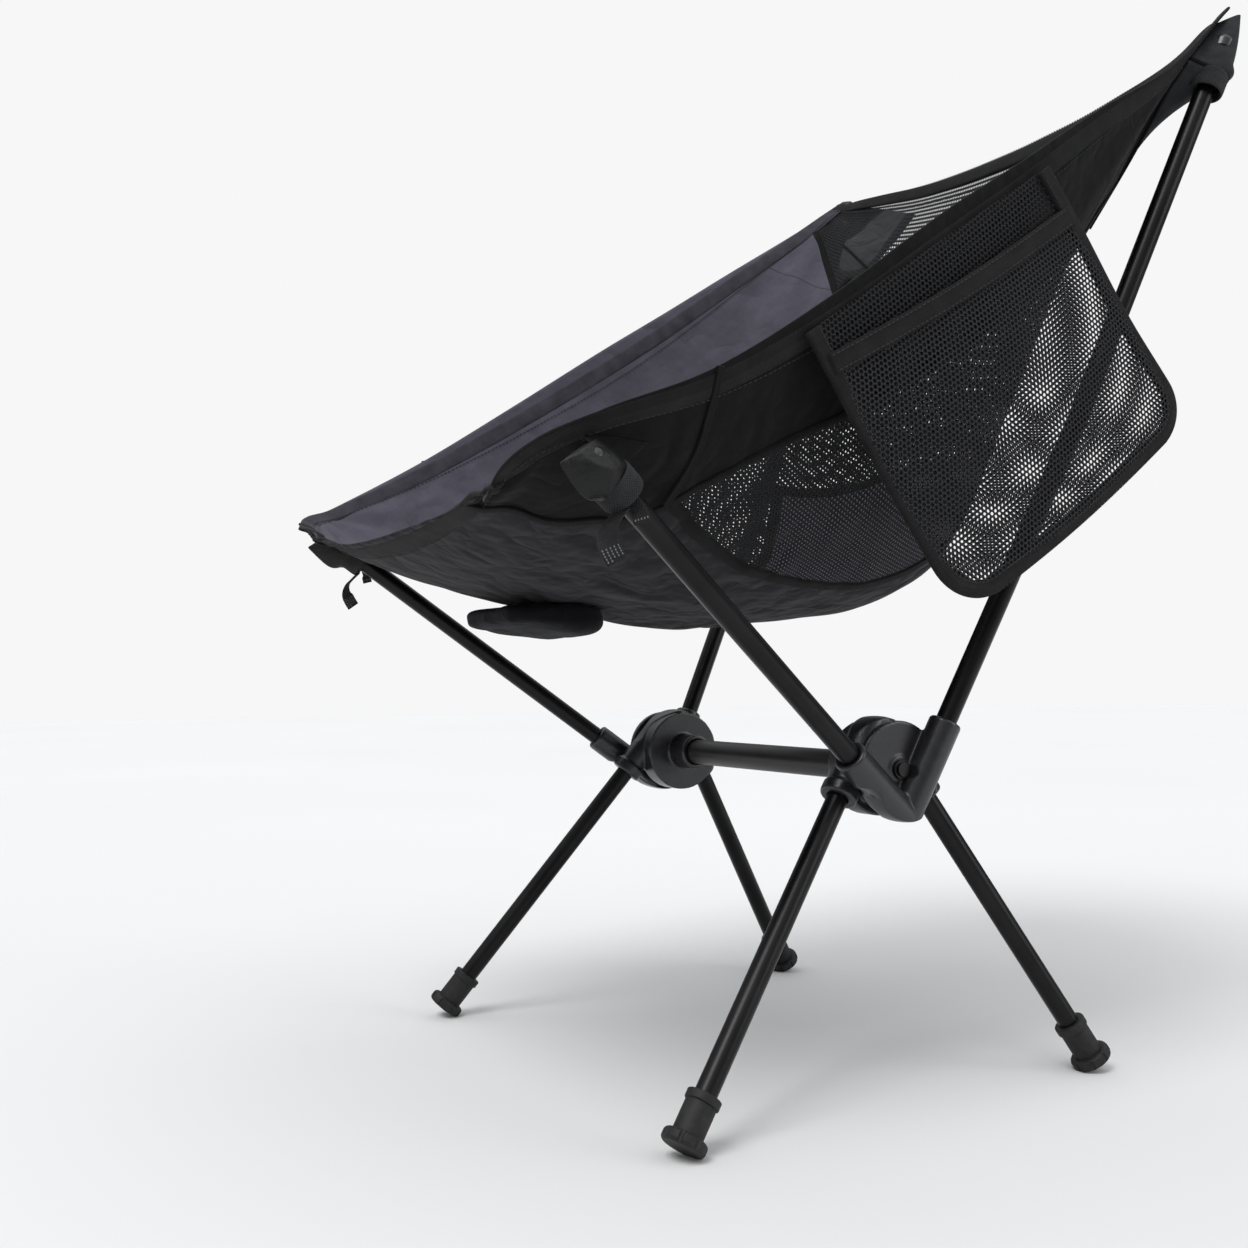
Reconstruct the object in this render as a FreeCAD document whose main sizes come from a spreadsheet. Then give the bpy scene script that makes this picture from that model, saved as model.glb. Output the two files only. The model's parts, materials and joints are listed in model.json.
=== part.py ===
"""Ultralight backpacking chair: a pole frame on two turning hubs that carries a four-point sling seat.

Frame of the part: +Z up, floor at Z = 0, X across the chair (+X is the sitter's left, the side that
has the mesh pocket), -Y to the front. The hub axis runs along X at Y = axis_y and Z = hub_height.
Points named in the sheet give Y from the hub axis and Z from the floor.
"""
import FreeCAD, Part
import math
import os

import Sketcher
from FreeCAD import Placement, Rotation, Vector

os.makedirs("parts", exist_ok=True)
doc = FreeCAD.newDocument("backpacking_chair")

# ---------------------------------------------------------------- driving dimensions (millimetres)
DIMENSIONS = {
    # frame points
    "axis_y": 3.0, "hub_height": 187.0,
    "seat_elbow_x": 141.2, "seat_elbow_y": 1.0, "seat_elbow_z": 158.5,
    "leg_elbow_x": 119.0, "leg_elbow_y": -1.5, "leg_elbow_z": 217.5,
    "front_tip_x": 207.4, "front_tip_y": -230.8, "front_tip_z": 342.7,
    "rear_tip_x": 197.7, "rear_tip_y": 226.8, "rear_tip_z": 638.5,
    "front_foot_x": 168.5, "front_foot_y": -168.0, "front_foot_z": 8.0,
    "rear_foot_x": 163.0, "rear_foot_y": 124.0, "rear_foot_z": 8.0,
    "rear_pole_bow": 7.0,
    # tubes and cords
    "pole_diameter": 12.5, "pole_wall": 0.9, "bar_diameter": 17.8, "bar_wall": 1.1, "bar_half": 104.0,
    "cord_diameter": 2.6, "ferrule_diameter": 10.5, "ferrule_bore": 4.0, "ferrule_half": 28.0,
    # yokes
    "socket_diameter": 19.4, "socket_play": 0.08, "socket_floor": 24.0, "cord_bore": 4.4,
    "cord_way_start": 6.0, "cord_start": 8.0,
    "seat_front_arm": 65.0, "seat_rear_arm": 63.0, "leg_front_arm": 60.0, "leg_rear_arm": 58.0,
    "gusset_start": 2.0, "gusset_reach": 22.0, "gusset_top": 21.3,
    "collar_diameter": 22.4, "collar_length": 8.0, "lip_round": 1.6,
    "hub_disc_diameter": 57.0, "seat_web_inner": 135.3, "seat_web_outer": 140.0,
    "leg_disc_inner": 108.0, "leg_disc_outer": 124.0, "leg_face": 134.9,
    "boss_diameter": 24.6, "boss_length": 20.0, "pin_diameter": 8.2, "pin_play": 0.05,
    "washer_diameter": 11.4, "pad_diameter": 15.4, "washer_thickness": 1.6, "pin_proud": 4.2,
    "lug_diameter": 6.0, "lug_radius": 20.6,
    # feet and tips
    "foot_sleeve": 17.2, "foot_flare": 24.6, "foot_length": 29.0, "foot_flare_height": 7.0,
    "foot_round": 2.4, "foot_trim": 0.7, "foot_notch": 1.5, "tip_diameter": 13.6, "tip_length": 9.0,
    # soft goods
    "fabric": 1.6, "tape": 2.8, "seam_gap": 0.7, "sleeve_bore": 14.4, "sleeve_diameter": 17.2,
    "front_sleeve": 34.0, "rear_sleeve": 46.0, "band_width": 13.0, "band_diameter": 20.4,
    "sleeve_end": 12.0, "sleeve_wall": 2.0, "sleeve_round": 5.0,
    "tab_width": 11.0, "tab_length": 19.0, "tab_thickness": 1.8,
    "tab_back": 18.0, "tab_gap": 1.5, "tab_ahead": 4.0, "tab_turn": 20.0,
    "pouch_width": 92.0, "pouch_depth": 64.0, "pouch_height": 16.0, "pouch_round": 7.0,
    "pouch_x": -14.0, "pouch_y": -166.0, "pouch_z": 272.4, "pouch_tilt": 8.0,
    "flap_inner_x": 205.6, "flap_gap": 6.0, "flap_mesh": 1.0, "flap_tape": 11.0, "hem_width": 12.0,
    "hem_top": 24.0,
}

sheet = doc.addObject("Spreadsheet::Sheet", "dims")
for row, (alias, value) in enumerate(DIMENSIONS.items(), start=1):
    sheet.set("A%d" % row, alias)
    sheet.set("B%d" % row, str(value))
    sheet.setAlias("B%d" % row, alias)
doc.recompute()


def size(alias):
    """The present value of a driving dimension."""
    return float(getattr(sheet, alias))


def point(name, side):
    """A named frame point on one side of the chair; side is +1 for +X and -1 for -X."""
    return Vector(side * size(name + "_x"), size("axis_y") + size(name + "_y"), size(name + "_z"))


def span(first, second):
    """Spreadsheet expression for the distance between two named frame points."""
    terms = ["(dims.%s_%s - dims.%s_%s) ^ 2" % (first, c, second, c) for c in "xyz"]
    return "sqrt(" + " + ".join(terms) + ")"


def along(start, end, offset=0.0):
    """Placement whose +Z runs from start towards end, with its origin offset along that line."""
    direction = (end - start).normalize()
    return Placement(start + direction * offset, Rotation(Vector(0, 0, 1), direction))


SIDES = (("left", 1), ("right", -1))
parts = []


def keep(thing, label):
    """Register a finished sub-part under its own label."""
    thing.Label = label
    parts.append(thing)
    return thing


# ---------------------------------------------------------------- sketch and feature helpers
def origin_plane(body, role):
    return next(f for f in body.Origin.OriginFeatures if f.Role == role)


def new_sketch(body, name, role="XY_Plane", offset=None):
    sketch = body.newObject("Sketcher::SketchObject", name)
    sketch.AttachmentSupport = (origin_plane(body, role), [""])
    sketch.MapMode = "FlatFace"
    if offset is not None:
        sketch.AttachmentOffset = offset
    return sketch


def add_circle(sketch, centre_x, radius_expression):
    """A circle on the sketch's X axis whose radius is bound to the sheet."""
    index = sketch.addGeometry(Part.Circle(Vector(centre_x, 0, 0), Vector(0, 0, 1), 5.0))
    if centre_x:
        sketch.addConstraint(Sketcher.Constraint("DistanceX", -1, 1, index, 3, centre_x))
        sketch.addConstraint(Sketcher.Constraint("PointOnObject", index, 3, -1))
    else:
        sketch.addConstraint(Sketcher.Constraint("Coincident", index, 3, -1, 1))
    number = sketch.addConstraint(Sketcher.Constraint("Radius", index, 5.0))
    sketch.setExpression("Constraints[%d]" % number, radius_expression)
    return index


def add_rectangle(sketch, inner, outer, low, high):
    """A rectangle from inner to outer across and low to high along, each an expression."""
    guess = [Vector(4, 1, 0), Vector(9, 1, 0), Vector(9, 7, 0), Vector(4, 7, 0)]
    lines = [sketch.addGeometry(Part.LineSegment(guess[i], guess[(i + 1) % 4])) for i in range(4)]
    for i in range(4):
        sketch.addConstraint(Sketcher.Constraint("Coincident", lines[i], 2, lines[(i + 1) % 4], 1))
    for i in (0, 2):
        sketch.addConstraint(Sketcher.Constraint("Horizontal", lines[i]))
    for i in (1, 3):
        sketch.addConstraint(Sketcher.Constraint("Vertical", lines[i]))
    for kind, corner, expression in (("DistanceX", 0, inner), ("DistanceX", 1, outer),
                                     ("DistanceY", 0, low), ("DistanceY", 2, high)):
        number = sketch.addConstraint(Sketcher.Constraint(kind, -1, 1, lines[corner], 1, 1.0))
        sketch.setExpression("Constraints[%d]" % number, expression)


def pad(body, sketch, length, name="pad"):
    feature = body.newObject("PartDesign::Pad", name)
    feature.Profile = sketch
    feature.setExpression("Length", length)
    return feature


def turned(body, name, rectangles, frame=None, cut=False):
    """Revolve rectangles (inner, outer, low, high) about the local +Z of frame; cut removes them."""
    upright = Placement(Vector(), Rotation(Vector(1, 0, 0), 90))
    offset = upright if frame is None else frame.multiply(upright)
    sketch = new_sketch(body, name + "_profile", offset=offset)
    for rectangle in rectangles:
        add_rectangle(sketch, *rectangle)
    feature = body.newObject("PartDesign::Groove" if cut else "PartDesign::Revolution", name)
    feature.Profile = sketch
    feature.ReferenceAxis = (sketch, ["V_Axis"])
    feature.Angle = 360
    return feature


def round_edges(body, chooser, radius_expression, name):
    """Fillet the edges of the body's tip that chooser picks."""
    doc.recompute()
    tip = body.Tip
    names = ["Edge%d" % (i + 1) for i, edge in enumerate(tip.Shape.Edges) if chooser(edge)]
    fillet = body.newObject("PartDesign::Fillet", name)
    fillet.Base = (tip, names)
    fillet.setExpression("Radius", radius_expression)
    return fillet


def is_circle(edge, radius, centre, tolerance=0.05):
    """True for a full circle of the given radius around the given point."""
    if edge.Degenerated:
        return False
    curve = edge.Curve
    if not isinstance(curve, Part.Circle) or abs(curve.Radius - radius) > tolerance:
        return False
    return (curve.Center - centre).Length < tolerance


# ---------------------------------------------------------------- tubes, ferrules and shock cords
def tube(label, placement, length, diameter="pole_diameter", wall="pole_wall"):
    """A drawn aluminium tube from its own origin along +Z."""
    body = doc.addObject("PartDesign::Body", label)
    sketch = new_sketch(body, label + "_section")
    add_circle(sketch, 0, "dims.%s / 2" % diameter)
    add_circle(sketch, 0, "dims.%s / 2 - dims.%s" % (diameter, wall))
    pad(body, sketch, length, label + "_draw")
    body.Placement = placement
    return keep(body, label)


def cord(label, placement, length):
    """A straight run of shock cord."""
    rod = doc.addObject("Part::Cylinder", label)
    rod.setExpression("Radius", "dims.cord_diameter / 2")
    rod.setExpression("Height", length)
    rod.Placement = placement
    return keep(rod, label)


def bow_point(side):
    """Where the two halves of a rear seat pole meet, pushed rearwards and down by the bow."""
    elbow = point("seat_elbow", side)
    tip = point("rear_tip", side)
    middle = (elbow + tip) * 0.5
    chord = (tip - elbow).normalize()
    rearward = Vector(0, 1, 0)
    rearward = (rearward - chord * rearward.dot(chord)).normalize()
    return middle + rearward * size("rear_pole_bow")


def bent_rod(radius, first, corner, last):
    """A round rod through three points with a ball at the corner."""
    pieces = [Part.makeSphere(radius, corner)]
    for end in (first, last):
        pieces.append(Part.makeCylinder(radius, (end - corner).Length, corner, end - corner))
    return pieces[0].multiFuse(pieces[1:]).removeSplitter()


def rear_pole(name, side):
    """Two tube sections, the sleeve that joins them at a slight bend and the cord through all."""
    elbow = point("seat_elbow", side)
    tip = point("rear_tip", side)
    corner = bow_point(side)
    down = (elbow - corner).normalize()
    up = (tip - corner).normalize()
    mitre = size("pole_diameter") / 2 * math.tan((math.pi - up.getAngle(down)) / 2) + 0.05
    start = size("socket_floor") + 0.3
    tube("rear_pole_lower_" + name, along(elbow, corner, start),
         "%.3f" % ((corner - elbow).Length - start - mitre))
    tube("rear_pole_upper_" + name, along(corner, tip, mitre), "%.3f" % ((tip - corner).Length - mitre - 0.05))
    reach = size("ferrule_half")
    solid = bent_rod(size("ferrule_diameter") / 2, corner + down * reach, corner, corner + up * reach)
    bore = bent_rod(size("ferrule_bore") / 2, corner + down * (reach + 1), corner, corner + up * (reach + 1))
    sleeve = doc.addObject("Part::Feature", "rear_pole_ferrule_" + name)
    sleeve.Shape = solid.cut(bore)
    keep(sleeve, "rear_pole_ferrule_" + name)
    strand = doc.addObject("Part::Feature", "rear_pole_cord_" + name)
    start = elbow + (corner - elbow).normalize() * size("cord_start")
    strand.Shape = bent_rod(size("cord_diameter") / 2, start, corner, tip - up * 0.4)
    keep(strand, "rear_pole_cord_" + name)


def front_pole(name, side):
    elbow = point("seat_elbow", side)
    tip = point("front_tip", side)
    length = span("seat_elbow", "front_tip")
    tube("front_pole_" + name, along(elbow, tip, size("socket_floor") + 0.3),
         length + " - dims.socket_floor - 0.35")
    cord("front_pole_cord_" + name, along(elbow, tip, size("cord_start")),
         length + " - dims.cord_start - 0.4")


def leg(name, side, which):
    """One leg tube in its socket, with its shock cord and its rubber foot."""
    elbow = point("leg_elbow", side)
    ground = point(which + "_foot", side)
    end_z = foot_height(elbow, ground)
    axis = (ground - elbow).normalize()
    length = (elbow.z - end_z) / -axis.z
    start = size("socket_floor") + 0.3
    label = "%s_%s" % (which, name)
    tube("leg_tube_" + label, along(elbow, ground, start), "%.3f" % (length - start - 4.05))
    cord("leg_cord_" + label, along(elbow, ground, size("cord_start")),
         "%.3f" % (length - size("cord_start") - 4.2))
    foot("foot_" + label, elbow, ground, length)


# ---------------------------------------------------------------- feet and pole tips
def foot_height(elbow, ground):
    """Height of the foot's end centre that leaves a small flat where the rim meets the floor."""
    axis = (ground - elbow).normalize()
    cosine = -axis.z
    sine = math.sqrt(1 - cosine * cosine)
    rim = size("foot_flare") / 2 - size("foot_round")
    return rim * sine - size("foot_round") * cosine + size("foot_round") - size("foot_trim")


def foot(label, elbow, ground, length):
    """Rubber boot: a sleeve with a notched, flared end, pushed on the leg and flat at the floor."""
    body = doc.addObject("PartDesign::Body", label + "_moulding")
    outer = "dims.foot_flare / 2"
    turned(body, label + "_flare", [("0", outer, "0", "dims.foot_flare_height")])
    turned(body, label + "_sleeve", [("0", "dims.foot_sleeve / 2", "1", "dims.foot_length")])
    turned(body, label + "_collar", [("0", "dims.foot_sleeve / 2 + 1", "dims.foot_length - 5",
                                      "dims.foot_length")])
    turned(body, label + "_bore", [("0", "dims.pole_diameter / 2 + 0.02", "4",
                                    "dims.foot_length + 2")], cut=True)
    flare = size("foot_flare") / 2
    ends = (Vector(0, 0, 0), Vector(0, 0, size("foot_flare_height")))
    round_edges(body, lambda e: any(is_circle(e, flare, c) for c in ends), "dims.foot_round",
                label + "_rims")
    collar = size("foot_sleeve") / 2 + 1
    collar_ends = (Vector(0, 0, size("foot_length")), Vector(0, 0, size("foot_length") - 5))
    round_edges(body, lambda e: any(is_circle(e, collar, c) for c in collar_ends), "0.8",
                label + "_collar_rims")
    doc.recompute()
    notch_sketch = new_sketch(body, label + "_notch_section")
    add_circle(notch_sketch, flare + 0.5, "dims.foot_notch")
    notch = body.newObject("PartDesign::Pocket", label + "_notch")
    notch.Profile = notch_sketch
    notch.Reversed = True
    notch.setExpression("Length", "dims.foot_flare_height")
    pattern = body.newObject("PartDesign::PolarPattern", label + "_notches")
    pattern.Originals = [notch]
    pattern.Axis = (notch_sketch, ["N_Axis"])
    pattern.Occurrences = 8
    pattern.Angle = 360
    body.Tip = pattern
    base = elbow + (ground - elbow).normalize() * length
    body.Placement = along(base, elbow)
    floor = doc.addObject("Part::Box", label + "_floor")
    floor.Length = floor.Width = floor.Height = 80
    floor.Placement = Placement(Vector(base.x - 40, base.y - 40, -80), Rotation())
    trimmed = doc.addObject("Part::Cut", label)
    trimmed.Base = body
    trimmed.Tool = floor
    return keep(trimmed, label)


def pole_tip(label, tip, inner):
    """Domed nylon plug that closes a seat pole; its cap is a little wider than the tube."""
    body = doc.addObject("PartDesign::Body", label)
    turned(body, label + "_cap", [("0", "dims.tip_diameter / 2", "0", "dims.tip_length")])
    turned(body, label + "_stem", [("0", "dims.pole_diameter / 2 - dims.pole_wall - 0.05", "-10", "0.5")])
    turned(body, label + "_cord_hole", [("0", "dims.cord_bore / 2", "-11", "2")], cut=True)
    radius = size("tip_diameter") / 2
    top = Vector(0, 0, size("tip_length"))
    round_edges(body, lambda e: is_circle(e, radius, top), "4.5", label + "_dome")
    body.Placement = along(tip, tip + (tip - inner))
    return keep(body, label)


# ---------------------------------------------------------------- hubs
def yoke(label, side, elbow_name, arms, collar):
    """Moulded yoke: two tube sockets that meet at an elbow on the rim of a round plate.

    It is drawn about the hub axis with the body's origin on that axis, at X = 0.
    """
    body = doc.addObject("PartDesign::Body", label)
    centre = Vector(0, size("axis_y"), size("hub_height"))
    elbow = point(elbow_name, side) - centre
    sockets = [(along(elbow, target - centre), reach) for target, reach in arms]
    across = Placement(Vector(), Rotation(Vector(0, 0, 1), Vector(side, 0, 0)))
    disc = "dims.hub_disc_diameter / 2"
    if elbow_name == "seat_elbow":
        turned(body, label + "_web", [("0", disc, "dims.seat_web_inner", "dims.seat_web_outer")], across)
    else:
        turned(body, label + "_disc", [("0", disc, "dims.leg_disc_inner", "dims.leg_disc_outer")], across)
        turned(body, label + "_boss", [("0", "dims.boss_diameter / 2",
                                        "dims.leg_disc_inner - dims.boss_length",
                                        "dims.leg_disc_inner + 1")], across)
    for number, (frame, reach) in enumerate(sockets):
        turned(body, "%s_arm_%d" % (label, number),
               [("0", "dims.socket_diameter / 2", "-1", "dims." + reach)], frame)
        if collar:
            turned(body, "%s_collar_%d" % (label, number),
                   [("0", "dims.collar_diameter / 2", "dims.%s - dims.collar_length" % reach,
                     "dims." + reach)], frame)
    ball = body.newObject("PartDesign::AdditiveSphere", label + "_elbow")
    ball.setExpression("Radius", "dims.socket_diameter / 2")
    ball.AttachmentSupport = (origin_plane(body, "XY_Plane"), [""])
    ball.MapMode = "FlatFace"
    ball.AttachmentOffset = Placement(elbow, Rotation())
    body.Placement = Placement(centre, Rotation())
    return body, across, sockets


def soften_mouths(body, label, sockets, collar):
    width = size("collar_diameter" if collar else "socket_diameter") / 2
    mouths = [frame.multVec(Vector(0, 0, size(reach))) for frame, reach in sockets]
    round_edges(body, lambda e: any(is_circle(e, width, mouth) for mouth in mouths),
                "dims.lip_round", label + "_lips")


def drill(body, label, sockets):
    """Blind sockets for the poles, with a narrow bore behind each for its shock cord."""
    for number, (frame, reach) in enumerate(sockets):
        turned(body, "%s_socket_%d" % (label, number),
               [("0", "dims.pole_diameter / 2 + dims.socket_play", "dims.socket_floor",
                 "dims.%s + 2" % reach)], frame, cut=True)
        turned(body, "%s_cord_way_%d" % (label, number),
               [("0", "dims.cord_bore / 2", "dims.cord_way_start", "dims.socket_floor + 1")],
               frame, cut=True)


def lug_placement(side, degrees):
    """Frame along X, at the stop lugs' radius from the hub axis and the given angle from +Y."""
    turn = math.radians(degrees)
    offset = Vector(0, math.cos(turn), math.sin(turn)) * size("lug_radius")
    return Placement(offset, Rotation(Vector(0, 0, 1), Vector(side, 0, 0)))


def mirrored(source, label):
    """The same moulding on the other side of the chair."""
    copy = doc.addObject("Part::Mirroring", label)
    copy.Source = source
    copy.Normal = (1, 0, 0)
    return keep(copy, label)


def gusset(body, label, side):
    """Flat-topped web that fills the corner between the seat yoke's plate and its rear arm."""
    web = body.newObject("PartDesign::AdditiveBox", label + "_gusset")
    web.setExpression("Length", "dims.seat_web_outer - dims.seat_web_inner")
    web.setExpression("Width", "dims.gusset_reach")
    web.setExpression("Height", "dims.gusset_top")
    web.AttachmentSupport = (origin_plane(body, "XY_Plane"), [""])
    web.MapMode = "FlatFace"
    start = min(side * size("seat_web_inner"), side * size("seat_web_outer"))
    web.AttachmentOffset = Placement(Vector(start, size("gusset_start"), 0), Rotation())


def seat_yoke(name, side):
    """Outer yoke: holds both seat poles of one side and turns on the pivot pin."""
    label = "seat_yoke_" + name
    arms = [(point("front_tip", side), "seat_front_arm"), (bow_point(side), "seat_rear_arm")]
    body, across, sockets = yoke(label, side, "seat_elbow", arms, False)
    turned(body, label + "_swing", [("0", "dims.hub_disc_diameter / 2 + 1", "dims.leg_disc_outer + 0.3",
                                     "dims.leg_face + 0.3")], across, cut=True)
    turned(body, label + "_lug", [("0", "dims.lug_diameter / 2", "dims.leg_disc_outer + 0.6",
                                   "dims.seat_web_inner + 1")], lug_placement(side, -113))
    turned(body, label + "_pad", [("0", "dims.pad_diameter / 2", "dims.seat_web_outer - 1",
                                   "dims.seat_web_outer + 0.8")], across)
    gusset(body, label, side)
    soften_mouths(body, label, sockets, False)
    drill(body, label, sockets)
    turned(body, label + "_pivot", [("0", "dims.pin_diameter / 2 + dims.pin_play",
                                     "dims.seat_web_inner - 20", "dims.seat_web_outer + 20")],
           across, cut=True)
    turned(body, label + "_spot_face", [("0", "dims.washer_diameter / 2 + 0.3",
                                         "dims.seat_web_outer + 0.8", "dims.seat_web_outer + 20")],
           across, cut=True)
    return keep(body, label)


def leg_yoke(name, side):
    """Inner yoke: holds both legs of one side and the end of the crossbar."""
    label = "leg_yoke_" + name
    arms = [(point("front_foot", side), "leg_front_arm"), (point("rear_foot", side), "leg_rear_arm")]
    body, across, sockets = yoke(label, side, "leg_elbow", arms, True)
    soften_mouths(body, label, sockets, True)
    turned(body, label + "_face", [("0", "dims.hub_disc_diameter / 2 + 1.2", "dims.leg_face",
                                    "dims.leg_face + 20")], across, cut=True)
    turned(body, label + "_lug", [("0", "dims.lug_diameter / 2", "dims.leg_disc_outer - 1",
                                   "dims.leg_face - 0.6")], lug_placement(side, -130.4))
    drill(body, label, sockets)
    turned(body, label + "_bar_socket", [("0", "dims.bar_diameter / 2 + 0.02",
                                          "dims.leg_disc_inner - dims.boss_length - 1",
                                          "dims.bar_half + 0.2")], across, cut=True)
    turned(body, label + "_pivot", [("0", "dims.pin_diameter / 2 + 0.02", "dims.bar_half - 2",
                                     "dims.leg_disc_outer + 20")], across, cut=True)
    return keep(body, label)


def pivot_pins():
    """The two pins that the seat yokes turn on, fixed in the leg yokes."""
    pins = []
    for name, side in SIDES:
        pin = doc.addObject("Part::Cylinder", "pivot_pin_" + name)
        pin.setExpression("Radius", "dims.pin_diameter / 2")
        pin.setExpression("Height", "dims.seat_web_outer + dims.pin_proud - dims.bar_half - 0.4")
        start = Vector(side * (size("bar_half") + 0.4), size("axis_y"), size("hub_height"))
        pin.Placement = along(start, start + Vector(side, 0, 0))
        pins.append(pin)
    both = doc.addObject("Part::Compound", "pivot_pins")
    both.Links = pins
    return keep(both, "pivot_pins")


def pin_washers():
    """Push-on washers that hold the seat yokes on their pins."""
    rings = []
    for name, side in SIDES:
        ring = doc.addObject("PartDesign::Body", "pin_washer_" + name)
        turned(ring, "pin_washer_%s_ring" % name,
               [("dims.pin_diameter / 2 + 0.02", "dims.washer_diameter / 2", "0", "dims.washer_thickness")])
        start = Vector(side * (size("seat_web_outer") + 1.0), size("axis_y"), size("hub_height"))
        ring.Placement = along(start, start + Vector(side, 0, 0))
        rings.append(ring)
    both = doc.addObject("Part::Compound", "pin_washers")
    both.Links = rings
    return keep(both, "pin_washers")


def crossbar():
    start = Vector(-size("bar_half"), size("axis_y"), size("hub_height"))
    return tube("crossbar", along(start, start + Vector(1, 0, 0)), "2 * dims.bar_half",
                "bar_diameter", "bar_wall")


# ---------------------------------------------------------------- the sling's surface
# Each station is a line across the sling, from the front hem to the top hem. It gives how far along
# the line is, the side edge on the pocket's side (+X), the side edge on the other side (-X), the
# middle of the sling, and how square the sag is. Y is from the hub axis, and heights are from the floor.
STATIONS = (
    # along   pocket side edge      other side edge       middle (y, z)  squareness
    (0.00, (150, -262, 336), (150, -272, 347), (-273, 326), 2.0),
    (0.07, (186, -252, 355), (186, -260, 359), (-234, 309), 2.1),
    (0.15, (206, -228, 369), (206, -236, 370), (-190, 296), 2.2),
    (0.30, (207, -165, 395), (207, -168, 408), (-108, 282), 2.4),
    (0.45, (206, -92, 440), (206, -93, 456), (-15, 278), 2.5),
    (0.60, (205, -12, 497), (205, -14, 508), (75, 294), 2.5),
    (0.70, (203, 46, 534), (203, 46, 546), (115, 342), 2.4),
    (0.80, (202, 110, 576), (202, 108, 586), (144, 420), 2.3),
    (0.90, (200, 178, 617), (200, 176, 629), (200, 535), 2.1),
    (1.00, (199, 230, 665), (199, 230, 665), (268, 667), 2.0),
)


def station_value(values, position):
    """Smooth curve through one number per station (cubic Hermite on finite-difference slopes)."""
    marks = [station[0] for station in STATIONS]
    slopes = []
    for i in range(len(marks)):
        before = max(i - 1, 0)
        after = min(i + 1, len(marks) - 1)
        slopes.append((values[after] - values[before]) / (marks[after] - marks[before]))
    i = max(k for k in range(len(marks) - 1) if marks[k] <= position or k == 0)
    step = marks[i + 1] - marks[i]
    t = (position - marks[i]) / step
    rise = t * t * (3 - 2 * t)
    return (values[i] * (1 - rise) + values[i + 1] * rise
            + step * t * (1 - t) * ((1 - t) * slopes[i] - t * slopes[i + 1]))


def sling_point(across, position):
    """Point of the sling: across runs from -1 to 1 (+X side), position from front 0 to top 1."""
    column = 1 if across >= 0 else 2
    edge = [station_value([station[column][k] for station in STATIONS], position) for k in range(3)]
    middle = [station_value([station[3][k] for station in STATIONS], position) for k in range(2)]
    power = station_value([station[4] for station in STATIONS], position)
    reach = abs(across)
    pull = reach ** power
    x = edge[0] * reach * (1.12 - 0.12 * reach * reach)
    y = edge[1] * pull + middle[0] * (1 - pull)
    z = edge[2] * pull + middle[1] * (1 - pull)
    return Vector(math.copysign(x, across), y + size("axis_y"), z)


def sling_normal(across, position):
    """Unit normal of the sling on the sitter's side."""
    step = 0.004
    low = max(position - step, 0)
    high = min(position + step, 1)
    over = sling_point(min(across + step, 1), position) - sling_point(max(across - step, -1), position)
    up = sling_point(across, high) - sling_point(across, low)
    return over.cross(up).normalize()


def cloth_panel(label, region, thickness="fabric", lift=0.0, rows=(13, 13)):
    """Closed solid of one panel: region maps (a, b) in 0..1 to the sling's (across, position)."""
    skins = []
    for offset in (size(thickness) / 2 + lift, -size(thickness) / 2 + lift):
        grid = []
        for i in range(rows[0]):
            line = []
            for j in range(rows[1]):
                across, position = region(i / (rows[0] - 1), j / (rows[1] - 1))
                line.append(sling_point(across, position) + sling_normal(across, position) * offset)
            grid.append(line)
        surface = Part.BSplineSurface()
        surface.interpolate(grid)
        skins.append(surface)
    faces = [skin.toShape() for skin in skins]
    bounds = skins[0].bounds()
    for iso, values in (("uIso", bounds[:2]), ("vIso", bounds[2:])):
        for value in values:
            rails = [getattr(skin, iso)(value).toShape() for skin in skins]
            faces.append(Part.makeRuledSurface(rails[0], rails[1]))
    shell = Part.Shell(faces)
    shell.sewShape()
    solid = Part.Solid(shell)
    if solid.Volume < 0:
        solid.reverse()
    feature = doc.addObject("Part::Feature", label)
    feature.Shape = solid
    return keep(feature, label)


SEAT_NECK = 0.645       # across where the seat panel is narrowest
SEAT_NECK_AT = 0.135    # position of that narrowest place
SEAT_FLARE = 8.0        # how fast the seat panel widens from there
SEAT_BACK = 0.60        # position of the seat panel's rear edge in the middle
SEAT_POINT = 0.24       # position where the mesh starts at each side
WING_INNER = 0.85       # across where the wings end, where they are narrowest
WING_FOOT = 0.117       # how much further in the wings reach at the front of the mesh
WING_REAR = 0.11        # how much further in the wings reach at the rear
WING_TURN = 0.60        # position from which they widen to the rear
WING_CORNER = 0.905     # position where they are widest
TAPE_INNER = 0.955      # across where the side binding starts
PATCH_ACROSS = (0.58, 0.93)
PATCH_ALONG = (0.86, 0.945)
PATCH_LIFT = -3.0       # the rear corner patches lie under the mesh
FRONT_HEM = 0.035       # position where the front hem ends
TOP_HEM = 0.962         # position where the top hem starts


def seat_rear_edge(a):
    return SEAT_BACK - (SEAT_BACK - SEAT_POINT) * a * a


def wing_edge(position):
    """Across value of the seam between the wing and what lies inside it."""
    if position <= SEAT_POINT:
        return SEAT_NECK + SEAT_FLARE * (position - SEAT_NECK_AT) ** 2
    rest = max((WING_CORNER - position) / (WING_CORNER - SEAT_POINT), 0)
    rear = min(max((position - WING_TURN) / (WING_CORNER - WING_TURN), 0), 1)
    return WING_INNER - WING_FOOT * rest ** 9 - WING_REAR * rear ** 2


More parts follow.
